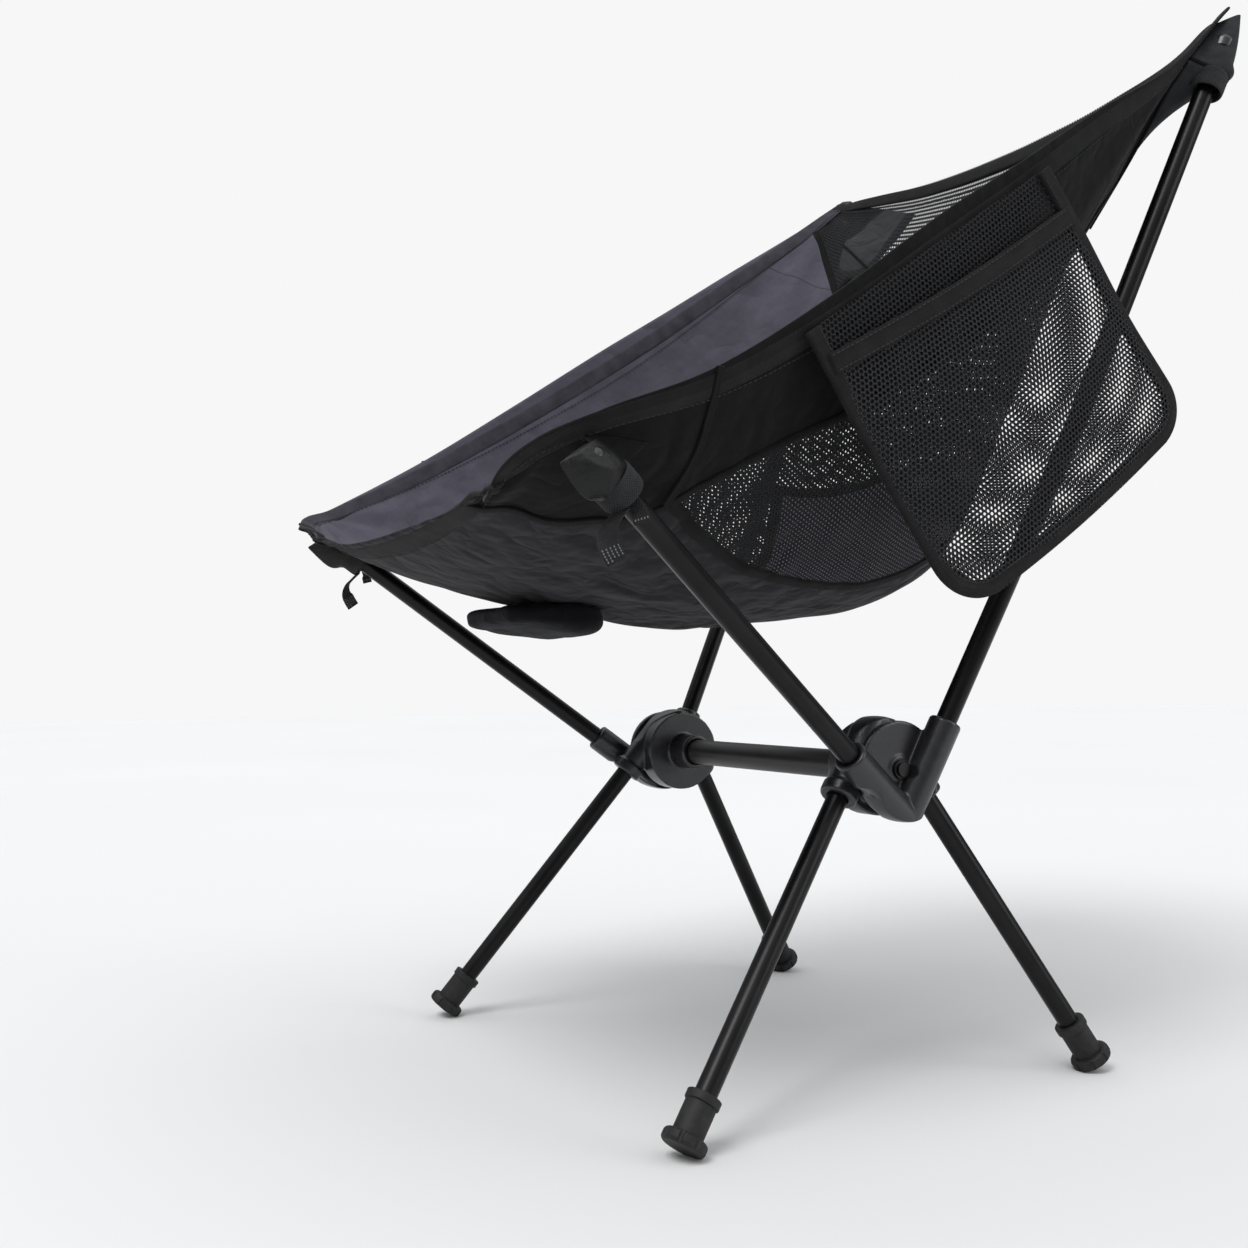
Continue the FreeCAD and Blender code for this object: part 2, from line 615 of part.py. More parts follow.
def sling_panels():
    gap = 0.004

    def seat(a, b):
        side = 2 * a - 1
        end = seat_rear_edge(side) - gap
        position = FRONT_HEM + gap + b * (end - FRONT_HEM - gap)
        beside = FRONT_HEM + gap + b * (SEAT_POINT - 2 * gap - FRONT_HEM)
        return side * (wing_edge(beside) - gap), position

    def mesh(a, b):
        side = 2 * a - 1
        start = seat_rear_edge(side) + gap
        position = start + b * (TOP_HEM - gap - start)
        beside = SEAT_POINT + gap + b * (TOP_HEM - 2 * gap - SEAT_POINT)
        return side * (wing_edge(beside) - gap), position

    cloth_panel("seat_panel", seat, rows=(17, 13))
    cloth_panel("mesh_panel", mesh, rows=(33, 25))
    for name, side in SIDES:
        def wing(a, b, side=side):
            position = FRONT_HEM + gap + b * (TOP_HEM - FRONT_HEM - 2 * gap)
            inner = wing_edge(position) + gap
            return side * (inner + a * (TAPE_INNER - gap - inner)), position

        def tape(a, b, side=side):
            return side * (TAPE_INNER + a * (1 - TAPE_INNER)), b

        def patch(a, b, side=side):
            return (side * (PATCH_ACROSS[0] + a * (PATCH_ACROSS[1] - PATCH_ACROSS[0])),
                    PATCH_ALONG[0] + b * (PATCH_ALONG[1] - PATCH_ALONG[0]))

        cloth_panel("side_wing_" + name, wing, rows=(9, 29))
        cloth_panel("side_binding_" + name, tape, "tape", rows=(3, 25))
        cloth_panel("rear_corner_patch_" + name, patch, lift=PATCH_LIFT, rows=(9, 9))

    def front(a, b):
        return (2 * a - 1) * (TAPE_INNER - gap), b * FRONT_HEM

    def top(a, b):
        return (2 * a - 1) * (TAPE_INNER - gap), TOP_HEM + b * (1 - TOP_HEM)

    cloth_panel("front_hem", front, "tape", rows=(21, 3))
    cloth_panel("top_hem", top, "tape", rows=(21, 3))


# ---------------------------------------------------------------- corner sleeves, bands and tabs
def corner_sleeve(label, tip, inner, length):
    """Sewn sleeve over one pole tip: a closed sock with its mouth towards the hub."""
    body = doc.addObject("PartDesign::Body", label)
    turned(body, label + "_sock", [("0", "dims.sleeve_diameter / 2", "dims.sleeve_end - dims." + length,
                                    "dims.sleeve_end")])
    turned(body, label + "_hollow", [("0", "dims.sleeve_bore / 2",
                                      "dims.sleeve_end - dims.%s - 1" % length,
                                      "dims.sleeve_end - dims.sleeve_wall")], cut=True)
    radius = size("sleeve_diameter") / 2
    round_edges(body, lambda e: is_circle(e, radius, Vector(0, 0, size("sleeve_end"))),
                "dims.sleeve_round", label + "_end")
    body.Placement = along(tip, tip + (tip - inner))
    return keep(body, label)


def pocket_band(label, tip, inner, length):
    """Webbing band sewn round the mouth of a corner sleeve."""
    body = doc.addObject("PartDesign::Body", label)
    turned(body, label + "_loop", [("dims.sleeve_diameter / 2 + 0.1", "dims.band_diameter / 2",
                                    "dims.sleeve_end - dims.%s + 1" % length,
                                    "dims.sleeve_end - dims.%s + 1 + dims.band_width" % length)])
    body.Placement = along(tip, tip + (tip - inner))
    return keep(body, label)


def slab(label, length, width, height):
    """A box, centred on its own origin in plan."""
    body = doc.addObject("PartDesign::Body", label)
    sketch = new_sketch(body, label + "_plan")
    guess = [Vector(-5, -4, 0), Vector(5, -4, 0), Vector(5, 4, 0), Vector(-5, 4, 0)]
    lines = [sketch.addGeometry(Part.LineSegment(guess[i], guess[(i + 1) % 4])) for i in range(4)]
    for i in range(4):
        sketch.addConstraint(Sketcher.Constraint("Coincident", lines[i], 2, lines[(i + 1) % 4], 1))
    for i in (0, 2):
        sketch.addConstraint(Sketcher.Constraint("Horizontal", lines[i]))
    for i in (1, 3):
        sketch.addConstraint(Sketcher.Constraint("Vertical", lines[i]))
    sketch.addConstraint(Sketcher.Constraint("Symmetric", lines[0], 1, lines[1], 2, -1, 1))
    for kind, line, expression in (("DistanceX", 0, length), ("DistanceY", 1, width)):
        number = sketch.addConstraint(Sketcher.Constraint(kind, lines[line], 1, lines[line], 2, 8.0))
        sketch.setExpression("Constraints[%d]" % number, expression)
    pad(body, sketch, height, label + "_block")
    return body


def pull_tab(name, side):
    """Stitched webbing tab that hangs from the band of a front corner."""
    tip = point("front_tip", side)
    elbow = point("seat_elbow", side)
    mouth = tip + (elbow - tip).normalize() * (size("front_sleeve") - size("tab_back"))
    body = slab("pull_tab_" + name, "dims.tab_thickness", "dims.tab_width", "dims.tab_length")
    below = size("band_diameter") / 2 + size("tab_length") + size("tab_gap")
    body.Placement = Placement(mouth + Vector(0, -size("tab_ahead"), -below),
                               Rotation(Vector(0, 0, 1), size("tab_turn") * side))
    return keep(body, "pull_tab_" + name)


def under_seat_pouch():
    """Small soft pouch under the front of the seat."""
    body = slab("under_seat_pouch", "dims.pouch_width", "dims.pouch_depth", "dims.pouch_height")
    round_edges(body, lambda edge: True, "dims.pouch_round", "under_seat_pouch_rounds")
    middle = Vector(size("pouch_x"), size("axis_y") + size("pouch_y"), size("pouch_z"))
    body.Placement = Placement(middle, Rotation(Vector(1, 0, 0), -size("pouch_tilt")))
    return keep(body, "under_seat_pouch")


# ---------------------------------------------------------------- the side pocket
# The flap hangs in an upright plane from the +X side edge. Its own axes are the slanted top edge and
# the direction square to it, downwards and to the rear.
FLAP_START = (-111.0, 417.0)    # y from the hub axis and height of the top edge's front end
FLAP_SLOPE = 33.7               # degrees that the top edge rises to the rear
FLAP_OUTLINE = ((0, 0), (208, 0), (224, 176), (2, 176))
FLAP_ROUNDS = (0, 0, 32, 34)


def flap_frame(x):
    """Placement of the flap's plane: local X along the top edge, local Y down, local Z outwards."""
    turn = Rotation(Vector(0, math.cos(math.radians(FLAP_SLOPE)), math.sin(math.radians(FLAP_SLOPE))),
                    Vector(0, math.sin(math.radians(FLAP_SLOPE)), -math.cos(math.radians(FLAP_SLOPE))),
                    Vector(-1, 0, 0), "XYZ")
    start = Vector(x, FLAP_START[0] + size("axis_y"), FLAP_START[1])
    return Placement(start, turn)


def flap_wire(inset=0.0, top=0.0):
    """Outline of the flap, moved in by inset at the sides and bottom and by top at the top edge."""
    corners = [Vector(x, y, 0) for x, y in FLAP_OUTLINE]
    shifts = (top, inset, inset, inset)
    lines = []
    for i in range(4):
        start = corners[i]
        direction = (corners[(i + 1) % 4] - start).normalize()
        inward = Vector(-direction.y, direction.x, 0)
        lines.append((start + inward * shifts[i], direction))
    moved = []
    for i in range(4):
        (p, d), (q, e) = lines[i - 1], lines[i]
        t = ((q - p).cross(e)).z / (d.cross(e)).z
        moved.append(p + d * t)
    edges = []
    starts = []
    for i in range(4):
        radius = max(FLAP_ROUNDS[i] - inset, 0)
        before = (moved[i - 1] - moved[i]).normalize()
        after = (moved[(i + 1) % 4] - moved[i]).normalize()
        if radius == 0:
            starts.append((moved[i], moved[i], None))
            continue
        half = before.getAngle(after) / 2
        reach = radius / math.tan(half)
        middle = (before + after).normalize() * (radius / math.sin(half) - radius)
        starts.append((moved[i] + before * reach, moved[i] + after * reach, moved[i] + middle))
    for i in range(4):
        enter, leave, middle = starts[i]
        if middle is not None:
            edges.append(Part.Arc(enter, middle, leave).toShape())
        edges.append(Part.LineSegment(leave, starts[(i + 1) % 4][0]).toShape())
    return Part.Wire(edges)


def flap_sheet(label, x, thickness, wire):
    """A flat piece of the pocket: the wire's area, thickened away from the seat (+X)."""
    solid = Part.Face(wire).extrude(Vector(0, 0, -thickness))
    feature = doc.addObject("Part::Feature", label)
    feature.Shape = solid
    feature.Placement = flap_frame(x)
    return keep(feature, label)


def side_pocket():
    inner = size("flap_inner_x")
    mesh = size("flap_mesh")
    gap = size("flap_gap")
    tape = size("flap_tape")
    front_x = inner + mesh + gap
    hem = size("hem_width")
    hem_top = size("hem_top")
    flap_sheet("pocket_back_mesh", inner, mesh, flap_wire(tape + 0.1, 0.0))
    flap_sheet("pocket_front_mesh", front_x, mesh, flap_wire(tape + 0.1, hem_top + hem + 0.1))
    outer = Part.Face(flap_wire()).extrude(Vector(0, 0, -(gap + 2 * mesh)))
    window = Part.Face(flap_wire(tape, -20.0)).extrude(Vector(0, 0, -(gap + 2 * mesh)))
    binding = doc.addObject("Part::Feature", "pocket_binding")
    binding.Shape = outer.cut(window)
    binding.Placement = flap_frame(inner)
    keep(binding, "pocket_binding")
    strip = Part.Face(flap_wire(tape + 0.1, hem_top)).extrude(Vector(0, 0, -mesh))
    below = Part.Face(flap_wire(tape - 3, hem_top + hem)).extrude(Vector(0, 0, -mesh))
    band = doc.addObject("Part::Feature", "pocket_hem")
    band.Shape = strip.cut(below)
    band.Placement = flap_frame(front_x)
    keep(band, "pocket_hem")


# ---------------------------------------------------------------- the whole chair
def build():
    crossbar()
    pivot_pins()
    pin_washers()
    mirrored(leg_yoke("left", 1), "leg_yoke_right")
    mirrored(seat_yoke("left", 1), "seat_yoke_right")
    for name, side in SIDES:
        for which in ("front", "rear"):
            leg(name, side, which)
        front_pole(name, side)
        rear_pole(name, side)
        for which, inner in (("front", point("seat_elbow", side)), ("rear", bow_point(side))):
            tip = point(which + "_tip", side)
            pole_tip("pole_tip_%s_%s" % (which, name), tip, inner)
            corner_sleeve("corner_sleeve_%s_%s" % (which, name), tip, inner, which + "_sleeve")
            pocket_band("pocket_band_%s_%s" % (which, name), tip, inner, which + "_sleeve")
        pull_tab(name, side)
    sling_panels()
    under_seat_pouch()
    side_pocket()


def check_and_write():
    doc.recompute()
    for thing in doc.Objects:
        bad = [word for word in ("Invalid", "Error") if word in thing.State]
        if bad:
            raise RuntimeError("%s is %s" % (thing.Label, bad))
    for piece in parts:
        shape = piece.Shape
        if shape.isNull() or not shape.isValid() or not shape.Solids:
            raise RuntimeError("%s has no valid solid" % piece.Label)
    for piece in parts:
        piece.Shape.exportStep("parts/%s.step" % piece.Label)
    print("%d sub-parts written" % len(parts))


build()
check_and_write()
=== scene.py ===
"""Looks of the ultralight backpacking chair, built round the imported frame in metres.

The hard pieces keep their CAD solids and get node materials; the hub yokes are re-skinned with softly
blended edges. Every soft piece is rebuilt here: the sling's panels, tapes, seams and stitching follow
one surface function, and the side pocket hangs in its own slanted plane.
"""
import json
import math

import bpy
import numpy as np
from mathutils import Matrix, Vector


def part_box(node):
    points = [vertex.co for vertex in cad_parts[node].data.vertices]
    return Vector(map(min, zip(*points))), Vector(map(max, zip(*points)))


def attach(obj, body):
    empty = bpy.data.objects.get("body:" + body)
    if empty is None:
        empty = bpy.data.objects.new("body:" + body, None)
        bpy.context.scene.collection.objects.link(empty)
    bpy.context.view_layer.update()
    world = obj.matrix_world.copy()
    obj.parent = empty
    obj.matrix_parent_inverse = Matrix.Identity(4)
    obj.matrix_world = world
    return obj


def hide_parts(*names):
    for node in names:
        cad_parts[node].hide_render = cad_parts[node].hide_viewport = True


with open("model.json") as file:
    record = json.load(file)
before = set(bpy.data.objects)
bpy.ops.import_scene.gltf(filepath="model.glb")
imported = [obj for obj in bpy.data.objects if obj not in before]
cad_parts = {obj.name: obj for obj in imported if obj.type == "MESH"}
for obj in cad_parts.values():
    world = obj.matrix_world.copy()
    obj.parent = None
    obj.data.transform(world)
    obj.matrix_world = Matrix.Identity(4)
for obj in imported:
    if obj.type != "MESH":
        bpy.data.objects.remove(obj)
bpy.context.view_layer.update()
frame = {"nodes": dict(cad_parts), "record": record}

MM = 0.001
AXIS_Y = 3.0            # the hub axis's own Y, which the sling's stations are measured from
SIDES = (("left", 1), ("right", -1))


# ---------------------------------------------------------------- node materials
class Shader:
    """A node material under construction, with short ways to add nodes to it."""

    def __init__(self, name, roughness=0.7, **values):
        self.material = bpy.data.materials.new(name)
        self.material.use_nodes = True
        self.tree = self.material.node_tree
        self.bsdf = self.tree.nodes["Principled BSDF"]
        self.bsdf.inputs["Roughness"].default_value = roughness
        for socket, value in values.items():
            self.bsdf.inputs[socket.replace("_", " ")].default_value = value

    def node(self, kind, inputs=None, **settings):
        made = self.tree.nodes.new(kind)
        for key, value in settings.items():
            setattr(made, key, value)
        for socket, value in (inputs or {}).items():
            if isinstance(value, bpy.types.NodeSocket):
                self.tree.links.new(value, made.inputs[socket])
            else:
                made.inputs[socket].default_value = value
        return made

    def math(self, operation, *values, clamp=False):
        inputs = dict(enumerate(values))
        return self.node("ShaderNodeMath", inputs, operation=operation, use_clamp=clamp).outputs[0]

    def coordinate(self, kind):
        return self.node("ShaderNodeTexCoord").outputs[kind]

    def scaled(self, vector, factors, turn=0.0):
        inputs = {"Vector": vector, "Scale": factors, "Rotation": (0.0, 0.0, turn)}
        return self.node("ShaderNodeMapping", inputs).outputs[0]

    def split(self, vector):
        return self.node("ShaderNodeSeparateXYZ", {0: vector}).outputs

    def noise(self, vector, scale, detail=3.0, roughness=0.5):
        inputs = {"Vector": vector, "Scale": scale, "Detail": detail, "Roughness": roughness}
        return self.node("ShaderNodeTexNoise", inputs).outputs["Fac"]

    def ramp(self, factor, *stops):
        made = self.node("ShaderNodeValToRGB", {0: factor})
        elements = made.color_ramp.elements
        while len(elements) < len(stops):
            elements.new(0.5)
        for element, (position, colour) in zip(elements, stops):
            element.position = position
            element.color = (*colour, 1.0)
        return made.outputs[0]

    def smooth_step(self, value, low, high):
        inputs = {"Value": value, "From Min": low, "From Max": high}
        return self.node("ShaderNodeMapRange", inputs, interpolation_type="SMOOTHSTEP").outputs[0]

    def wave(self, value, pitch):
        """Sine of a length, with one full turn per pitch."""
        return self.math("SINE", self.math("MULTIPLY", value, 2 * math.pi / pitch))

    def bump(self, height, distance, strength=1.0, under=None):
        inputs = {"Height": height, "Distance": distance, "Strength": strength}
        if under is not None:
            inputs["Normal"] = under
        return self.node("ShaderNodeBump", inputs).outputs[0]

    def use(self, **sockets):
        for socket, value in sockets.items():
            self.tree.links.new(value, self.bsdf.inputs[socket.replace("_", " ")])


def grey(level, tint=(1.0, 1.0, 1.0)):
    return tuple(level * part for part in tint)


def tube_metal(name, level, tint, roughness):
    """Anodised aluminium tube: fine specks, slight blotches and rubbed patches."""
    made = Shader(name, roughness, Metallic=0.75)
    place = made.coordinate("Object")
    blotch = made.noise(place, 38.0, 4.0)
    speck = made.noise(place, 900.0, 2.0)
    made.use(Base_Color=made.ramp(blotch, (0.3, grey(level * 0.8, tint)), (0.72, grey(level * 1.25, tint))))
    spread = made.math("MULTIPLY_ADD", blotch, 0.16, roughness - 0.08)
    made.use(Roughness=made.math("MULTIPLY_ADD", speck, 0.06, spread))
    made.use(Normal=made.bump(speck, 0.00004, 0.6))
    return made.material


def moulded_nylon(name, level):
    """Glass-filled nylon: a fine grained skin with soft bluish highlights and slight flow marks."""
    made = Shader(name, 0.42, Specular_IOR_Level=0.6)
    place = made.coordinate("Object")
    grain = made.noise(place, 1500.0, 2.0)
    flow = made.noise(made.scaled(place, (1.0, 1.0, 2.4)), 60.0, 5.0, 0.6)
    made.use(Base_Color=made.ramp(flow, (0.3, grey(level * 0.8, (0.97, 0.98, 1.1))),
                                  (0.75, grey(level * 1.3, (0.93, 0.96, 1.2)))))
    made.use(Roughness=made.math("MULTIPLY_ADD", flow, 0.22, 0.2))
    skin = made.bump(grain, 0.00005, 0.7)
    made.use(Normal=made.bump(flow, 0.0004, 0.35, skin))
    return made.material


def foot_rubber():
    made = Shader("foot_rubber", 0.62, Specular_IOR_Level=0.3)
    place = made.coordinate("Object")
    scuff = made.noise(place, 120.0, 6.0, 0.65)
    made.use(Base_Color=made.ramp(scuff, (0.4, grey(0.010)), (0.8, grey(0.03, (1.0, 0.97, 0.93)))))
    made.use(Roughness=made.math("MULTIPLY_ADD", scuff, 0.3, 0.45))
    made.use(Normal=made.bump(scuff, 0.0002, 0.5))
    return made.material


def plain_weave(name, low, high, tint, pitch=0.7 * MM, roughness=0.82, sheen=0.04, crease=0.25):
    """Woven polyester: over-and-under threads, uneven yarns and faint rub marks."""
    made = Shader(name, roughness, Sheen_Weight=sheen, Sheen_Roughness=0.5, Specular_IOR_Level=0.12)
    lie = made.coordinate("UV")
    u, v, _ = made.split(lie)
    weave = made.math("MULTIPLY", made.wave(u, 2 * pitch), made.wave(v, 2 * pitch))
    slub_u = made.noise(made.scaled(lie, (1400.0, 40.0, 1.0)), 1.0, 2.0)
    slub_v = made.noise(made.scaled(lie, (40.0, 1400.0, 1.0)), 1.0, 2.0)
    slubs = made.math("ADD", slub_u, slub_v)
    wear = made.noise(lie, 26.0, 5.0, 0.6)
    mixed = made.math("MULTIPLY_ADD", slubs, 0.3, made.math("MULTIPLY_ADD", weave, 0.1, wear))
    made.use(Base_Color=made.ramp(mixed, (0.45, grey(low, tint)), (1.1, grey(high, tint))))
    made.use(Roughness=made.math("MULTIPLY_ADD", wear, 0.12, roughness - 0.06))
    threads = made.bump(made.math("MULTIPLY_ADD", slubs, 0.6, weave), 0.00012, 0.55)
    folds = made.math("ABSOLUTE", made.math("SUBTRACT", made.noise(lie, 19.0, 3.0, 0.5), 0.5))
    rubbed = made.bump(wear, 0.0010, 0.25, threads)
    made.use(Normal=made.bump(folds, 0.020, crease, rubbed))
    return made.material


def coated_cloth(name, level):
    """Cloth with a rubbery coat: smooth, a little shiny, with small sharp creases."""
    made = Shader(name, 0.35, Specular_IOR_Level=0.28)
    lie = made.coordinate("Object")
    crease = made.noise(lie, 60.0, 6.0, 0.62)
    fine = made.noise(lie, 700.0, 2.0)
    worn = grey(level * 1.5, (0.97, 1.0, 1.06))
    made.use(Base_Color=made.ramp(crease, (0.35, grey(level * 0.75)), (0.7, worn)))
    made.use(Roughness=made.math("MULTIPLY_ADD", crease, 0.3, 0.27))
    grain = made.bump(fine, 0.00008, 0.5)
    made.use(Normal=made.bump(crease, 0.0040, 0.7, grain))
    return made.material


def twill_tape(name, level, tint, rib=1.0 * MM, chevron=5.0 * MM):
    """Herringbone tape: slanted ribs that turn back every few millimetres across its width."""
    made = Shader(name, 0.88, Sheen_Weight=0.05, Sheen_Roughness=0.5, Specular_IOR_Level=0.12)
    lie = made.coordinate("UV")
    u, v, _ = made.split(lie)
    slant = made.math("ADD", u, made.math("PINGPONG", v, chevron))
    ribs = made.wave(slant, rib)
    fuzz = made.noise(made.scaled(lie, (1500.0, 1500.0, 1.0)), 1.0, 3.0)
    wear = made.noise(lie, 70.0, 4.0)
    mixed = made.math("MULTIPLY_ADD", fuzz, 0.35, made.math("MULTIPLY_ADD", ribs, 0.14, wear))
    made.use(Base_Color=made.ramp(mixed, (0.35, grey(level * 0.6, tint)), (1.05, grey(level * 1.7, tint))))
    made.use(Normal=made.bump(made.math("MULTIPLY_ADD", fuzz, 0.5, ribs), 0.00022, 0.8))
    return made.material


def knit_mesh(name, level, pitch, hole, turn=0.0):
    """Knitted mesh with staggered round holes that are really see-through."""
    made = Shader(name, 0.7, Specular_IOR_Level=0.15)
    lie = made.scaled(made.coordinate("UV"), (1.0, 1.0, 1.0), turn)
    u, v, _ = made.split(lie)
    tall = pitch * math.sqrt(3)
    rows = []
    for shift in (0.0, 0.5):
        across = made.math("SUBTRACT", made.math("FRACT", made.math("ADD", made.math("DIVIDE", u, pitch),
                                                                      shift)), 0.5)
        along = made.math("SUBTRACT", made.math("FRACT", made.math("ADD", made.math("DIVIDE", v, tall),
                                                                     shift)), 0.5)
        across = made.math("MULTIPLY", across, pitch)
        along = made.math("MULTIPLY", along, tall)
        square = made.math("ADD", made.math("MULTIPLY", across, across), made.math("MULTIPLY", along, along))
        rows.append(made.math("SQRT", square))
    away = made.math("MINIMUM", rows[0], rows[1])
    made.use(Alpha=made.smooth_step(away, hole * 0.92, hole * 1.08))
    strand = made.noise(made.scaled(lie, (1800.0, 1800.0, 1.0)), 1.0, 2.0)
    cord = made.smooth_step(away, hole * 0.95, pitch * 0.58)
    knot_highlight_mask = made.smooth_step(away, hole * 1.2, pitch * 0.56)
    # Base colour: painted highlight on the knots between the holes and painted shade toward the hole rims,
    # with random strand tone.
    shine = made.math("MULTIPLY_ADD", strand, 0.35, made.math("MULTIPLY", knot_highlight_mask, 0.65))
    knot_highlight_colour = grey(level * 3.0, (0.96, 0.98, 1.12))
    made.use(Base_Color=made.ramp(shine, (0.15, grey(level * 0.5)), (0.85, knot_highlight_colour)))
    made.use(Normal=made.bump(made.math("MULTIPLY_ADD", strand, 0.3, cord), 0.00045, 0.8))
    return made.material


def sewing_thread(name, level):
    made = Shader(name, 0.6, Specular_IOR_Level=0.2)
    twist = made.noise(made.coordinate("Object"), 2500.0, 2.0)
    made.use(Base_Color=made.ramp(twist, (0.3, grey(level * 0.7)), (0.7, grey(level * 1.5))))
    made.use(Normal=made.bump(twist, 0.0001, 0.6))
    return made.material


def braided_cord():
    made = Shader("braided_cord", 0.8, Specular_IOR_Level=0.2)
    weave = made.noise(made.coordinate("Object"), 1100.0, 2.0)
    made.use(Base_Color=made.ramp(weave, (0.35, grey(0.015)), (0.7, grey(0.06))))
    made.use(Normal=made.bump(weave, 0.0002, 0.6))
    return made.material


def pale_floor():
    made = Shader("pale_floor", 0.85, Specular_IOR_Level=0.15)
    cloud = made.noise(made.coordinate("Object"), 0.8, 3.0)
    made.use(Base_Color=made.ramp(cloud, (0.2, grey(0.70)), (0.8, grey(0.73))))
    return made.material


POLE = tube_metal("anodised_black", 0.012, (1.0, 0.97, 0.97), 0.30)
BAR = tube_metal("anodised_brown_black", 0.032, (1.0, 0.95, 0.93), 0.34)
BARE = tube_metal("bare_aluminium", 0.6, (1.0, 1.0, 1.0), 0.3)
PIN = tube_metal("blackened_steel", 0.03, (1.0, 1.0, 1.0), 0.3)
NYLON = moulded_nylon("hub_nylon", 0.013)
TIP = moulded_nylon("tip_nylon", 0.008)
RUBBER = foot_rubber()
INSIDE = plain_weave("seat_cloth_inside", 0.056, 0.098, (0.98, 0.94, 1.22))
# Darker copy of the seat cloth for the seat panel's underside: painted shade.
UNDER_PAINTED_SHADE = plain_weave("seat_cloth_under_painted_shade", 0.010, 0.022, (1.04, 0.97, 1.16), crease=1.0)
# Far darker copy of the same cloth for the wings' outer faces: painted shade.
SIDE_CLOTH_PAINTED_SHADE = plain_weave("side_cloth_outside_painted_shade", 0.0025, 0.005, (1.0, 0.98, 1.10), roughness=0.78, crease=0.4)
NAVY = plain_weave("pouch_cloth", 0.004, 0.010, (0.9, 0.9, 1.3))
COATED = coated_cloth("coated_cloth", 0.005)
CORNER_CLOTH = plain_weave("rear_corner_cloth", 0.014, 0.030, (0.94, 0.98, 1.12), roughness=0.6, crease=0.6)
TAPE = twill_tape("binding_tape", 0.010, (1.0, 0.98, 1.06))
# Lighter copy of the binding tape for its faces on the sitter's side: painted light.
TAPE_PAINTED_LIGHT = twill_tape("binding_tape_painted_light", 0.050, (0.98, 0.95, 1.18))
HEM = twill_tape("front_hem_tape", 0.013, (1.06, 0.98, 0.98))
WEBBING = twill_tape("webbing", 0.022, (0.97, 0.98, 1.03), rib=1.5 * MM, chevron=3.0 * MM)
SEAM = twill_tape("seam_tape", 0.003, (1.0, 1.0, 1.0), rib=0.8 * MM)
MESH = knit_mesh("sling_mesh", 0.006, 3.0 * MM, 0.64 * MM)
POCKET_BACK = knit_mesh("pocket_back_mesh", 0.010, 3.1 * MM, 0.92 * MM, turn=0.06)
POCKET_FRONT = knit_mesh("pocket_front_mesh", 0.014, 3.1 * MM, 0.96 * MM)
THREAD = sewing_thread("sewing_thread", 0.028)
TACK = sewing_thread("tack_thread", 0.16)
CORD = braided_cord()


# ---------------------------------------------------------------- mesh helpers
def mesh_object(name, vertices, faces, material, body, uv=None, smooth=True):
    """A mesh piece that rides on one body; uv holds one pair per face corner."""
    data = bpy.data.meshes.new(name)
    data.from_pydata([tuple(v) for v in vertices], [], [tuple(f) for f in faces])
    if uv is not None:
        layer = data.uv_layers.new(name="UVMap")
        layer.data.foreach_set("uv", np.asarray(uv, dtype=np.float32).ravel())
    data.polygons.foreach_set("use_smooth", [smooth] * len(data.polygons))
    data.update()
    made = bpy.data.objects.new(name, data)
    bpy.context.collection.objects.link(made)
    for each in (material if isinstance(material, (list, tuple)) else [material]):
        data.materials.append(each)
    if body is not None:
        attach(made, body)
    return made


def grid_faces(rows, columns):
    corner = (np.arange(rows - 1)[:, None] * columns + np.arange(columns - 1)[None, :]).ravel()
    return np.stack([corner, corner + columns, corner + columns + 1, corner + 1], axis=1)


def grid_object(name, points, material, body, uv=None):
    """A sheet from a rows x columns grid of points, laid out flat in its UVs in metres."""
    rows, columns = points.shape[:2]
    faces = grid_faces(rows, columns)
    if uv is None:
        uv = sheet_uv(points)
    corners = uv.reshape(-1, 2)[faces].reshape(-1, 2)
    return mesh_object(name, points.reshape(-1, 3), faces, material, body, corners)


def thicken(made, thickness):
    """Give a sheet its thickness, half to each side."""
    shell = made.modifiers.new("thickness", "SOLIDIFY")
    shell.thickness = thickness
    shell.offset = 0
    return shell


def sheet_uv(points):
    """Lengths along the rows and columns of a grid, measured from its middle row."""
    across = np.zeros(points.shape[:2])
    across[1:] = np.cumsum(np.linalg.norm(np.diff(points, axis=0), axis=2), axis=0)
    across -= across[points.shape[0] // 2][None, :]
    along = np.zeros(points.shape[:2])
    along[:, 1:] = np.cumsum(np.linalg.norm(np.diff(points, axis=1), axis=2), axis=1)
    return np.stack([across, along], axis=2)


def unit(vectors):
    return vectors / np.linalg.norm(vectors, axis=-1, keepdims=True)


PROFILE_POINTS = 18     # points round a tape's cross-section


def flat_profile(width, height):
    """Flattened oval with full sides, for tape and webbing."""
    turn = np.linspace(0, 2 * np.pi, PROFILE_POINTS + 1)
    x = np.sign(np.cos(turn)) * np.abs(np.cos(turn)) ** 0.42
    y = np.sign(np.sin(turn)) * np.abs(np.sin(turn)) ** 0.75
    return x * width / 2, y * height / 2


def ribbon(name, path, normals, width, height, material, body):
    """A flat band along a path, lying square to the normals, with closed ends."""
    tangents = unit(np.gradient(path, axis=0))
    normals = unit(normals - tangents * np.sum(normals * tangents, axis=1, keepdims=True))
    sideways = np.cross(normals, tangents)
    x, y = flat_profile(width, height)
    rings = path[:, None] + sideways[:, None] * x[None, :, None] + normals[:, None] * y[None, :, None]
    rings = np.concatenate([path[:1, None] + 0 * rings[:1], rings, path[-1:, None] + 0 * rings[-1:]])
    lengths = np.concatenate([[0], np.cumsum(np.linalg.norm(np.diff(path, axis=0), axis=1))])
    lengths = np.concatenate([lengths[:1], lengths, lengths[-1:]])
    uv = np.stack(np.broadcast_arrays(lengths[:, None], x[None, :]), axis=2)
    return grid_object(name, rings, material, body, uv)


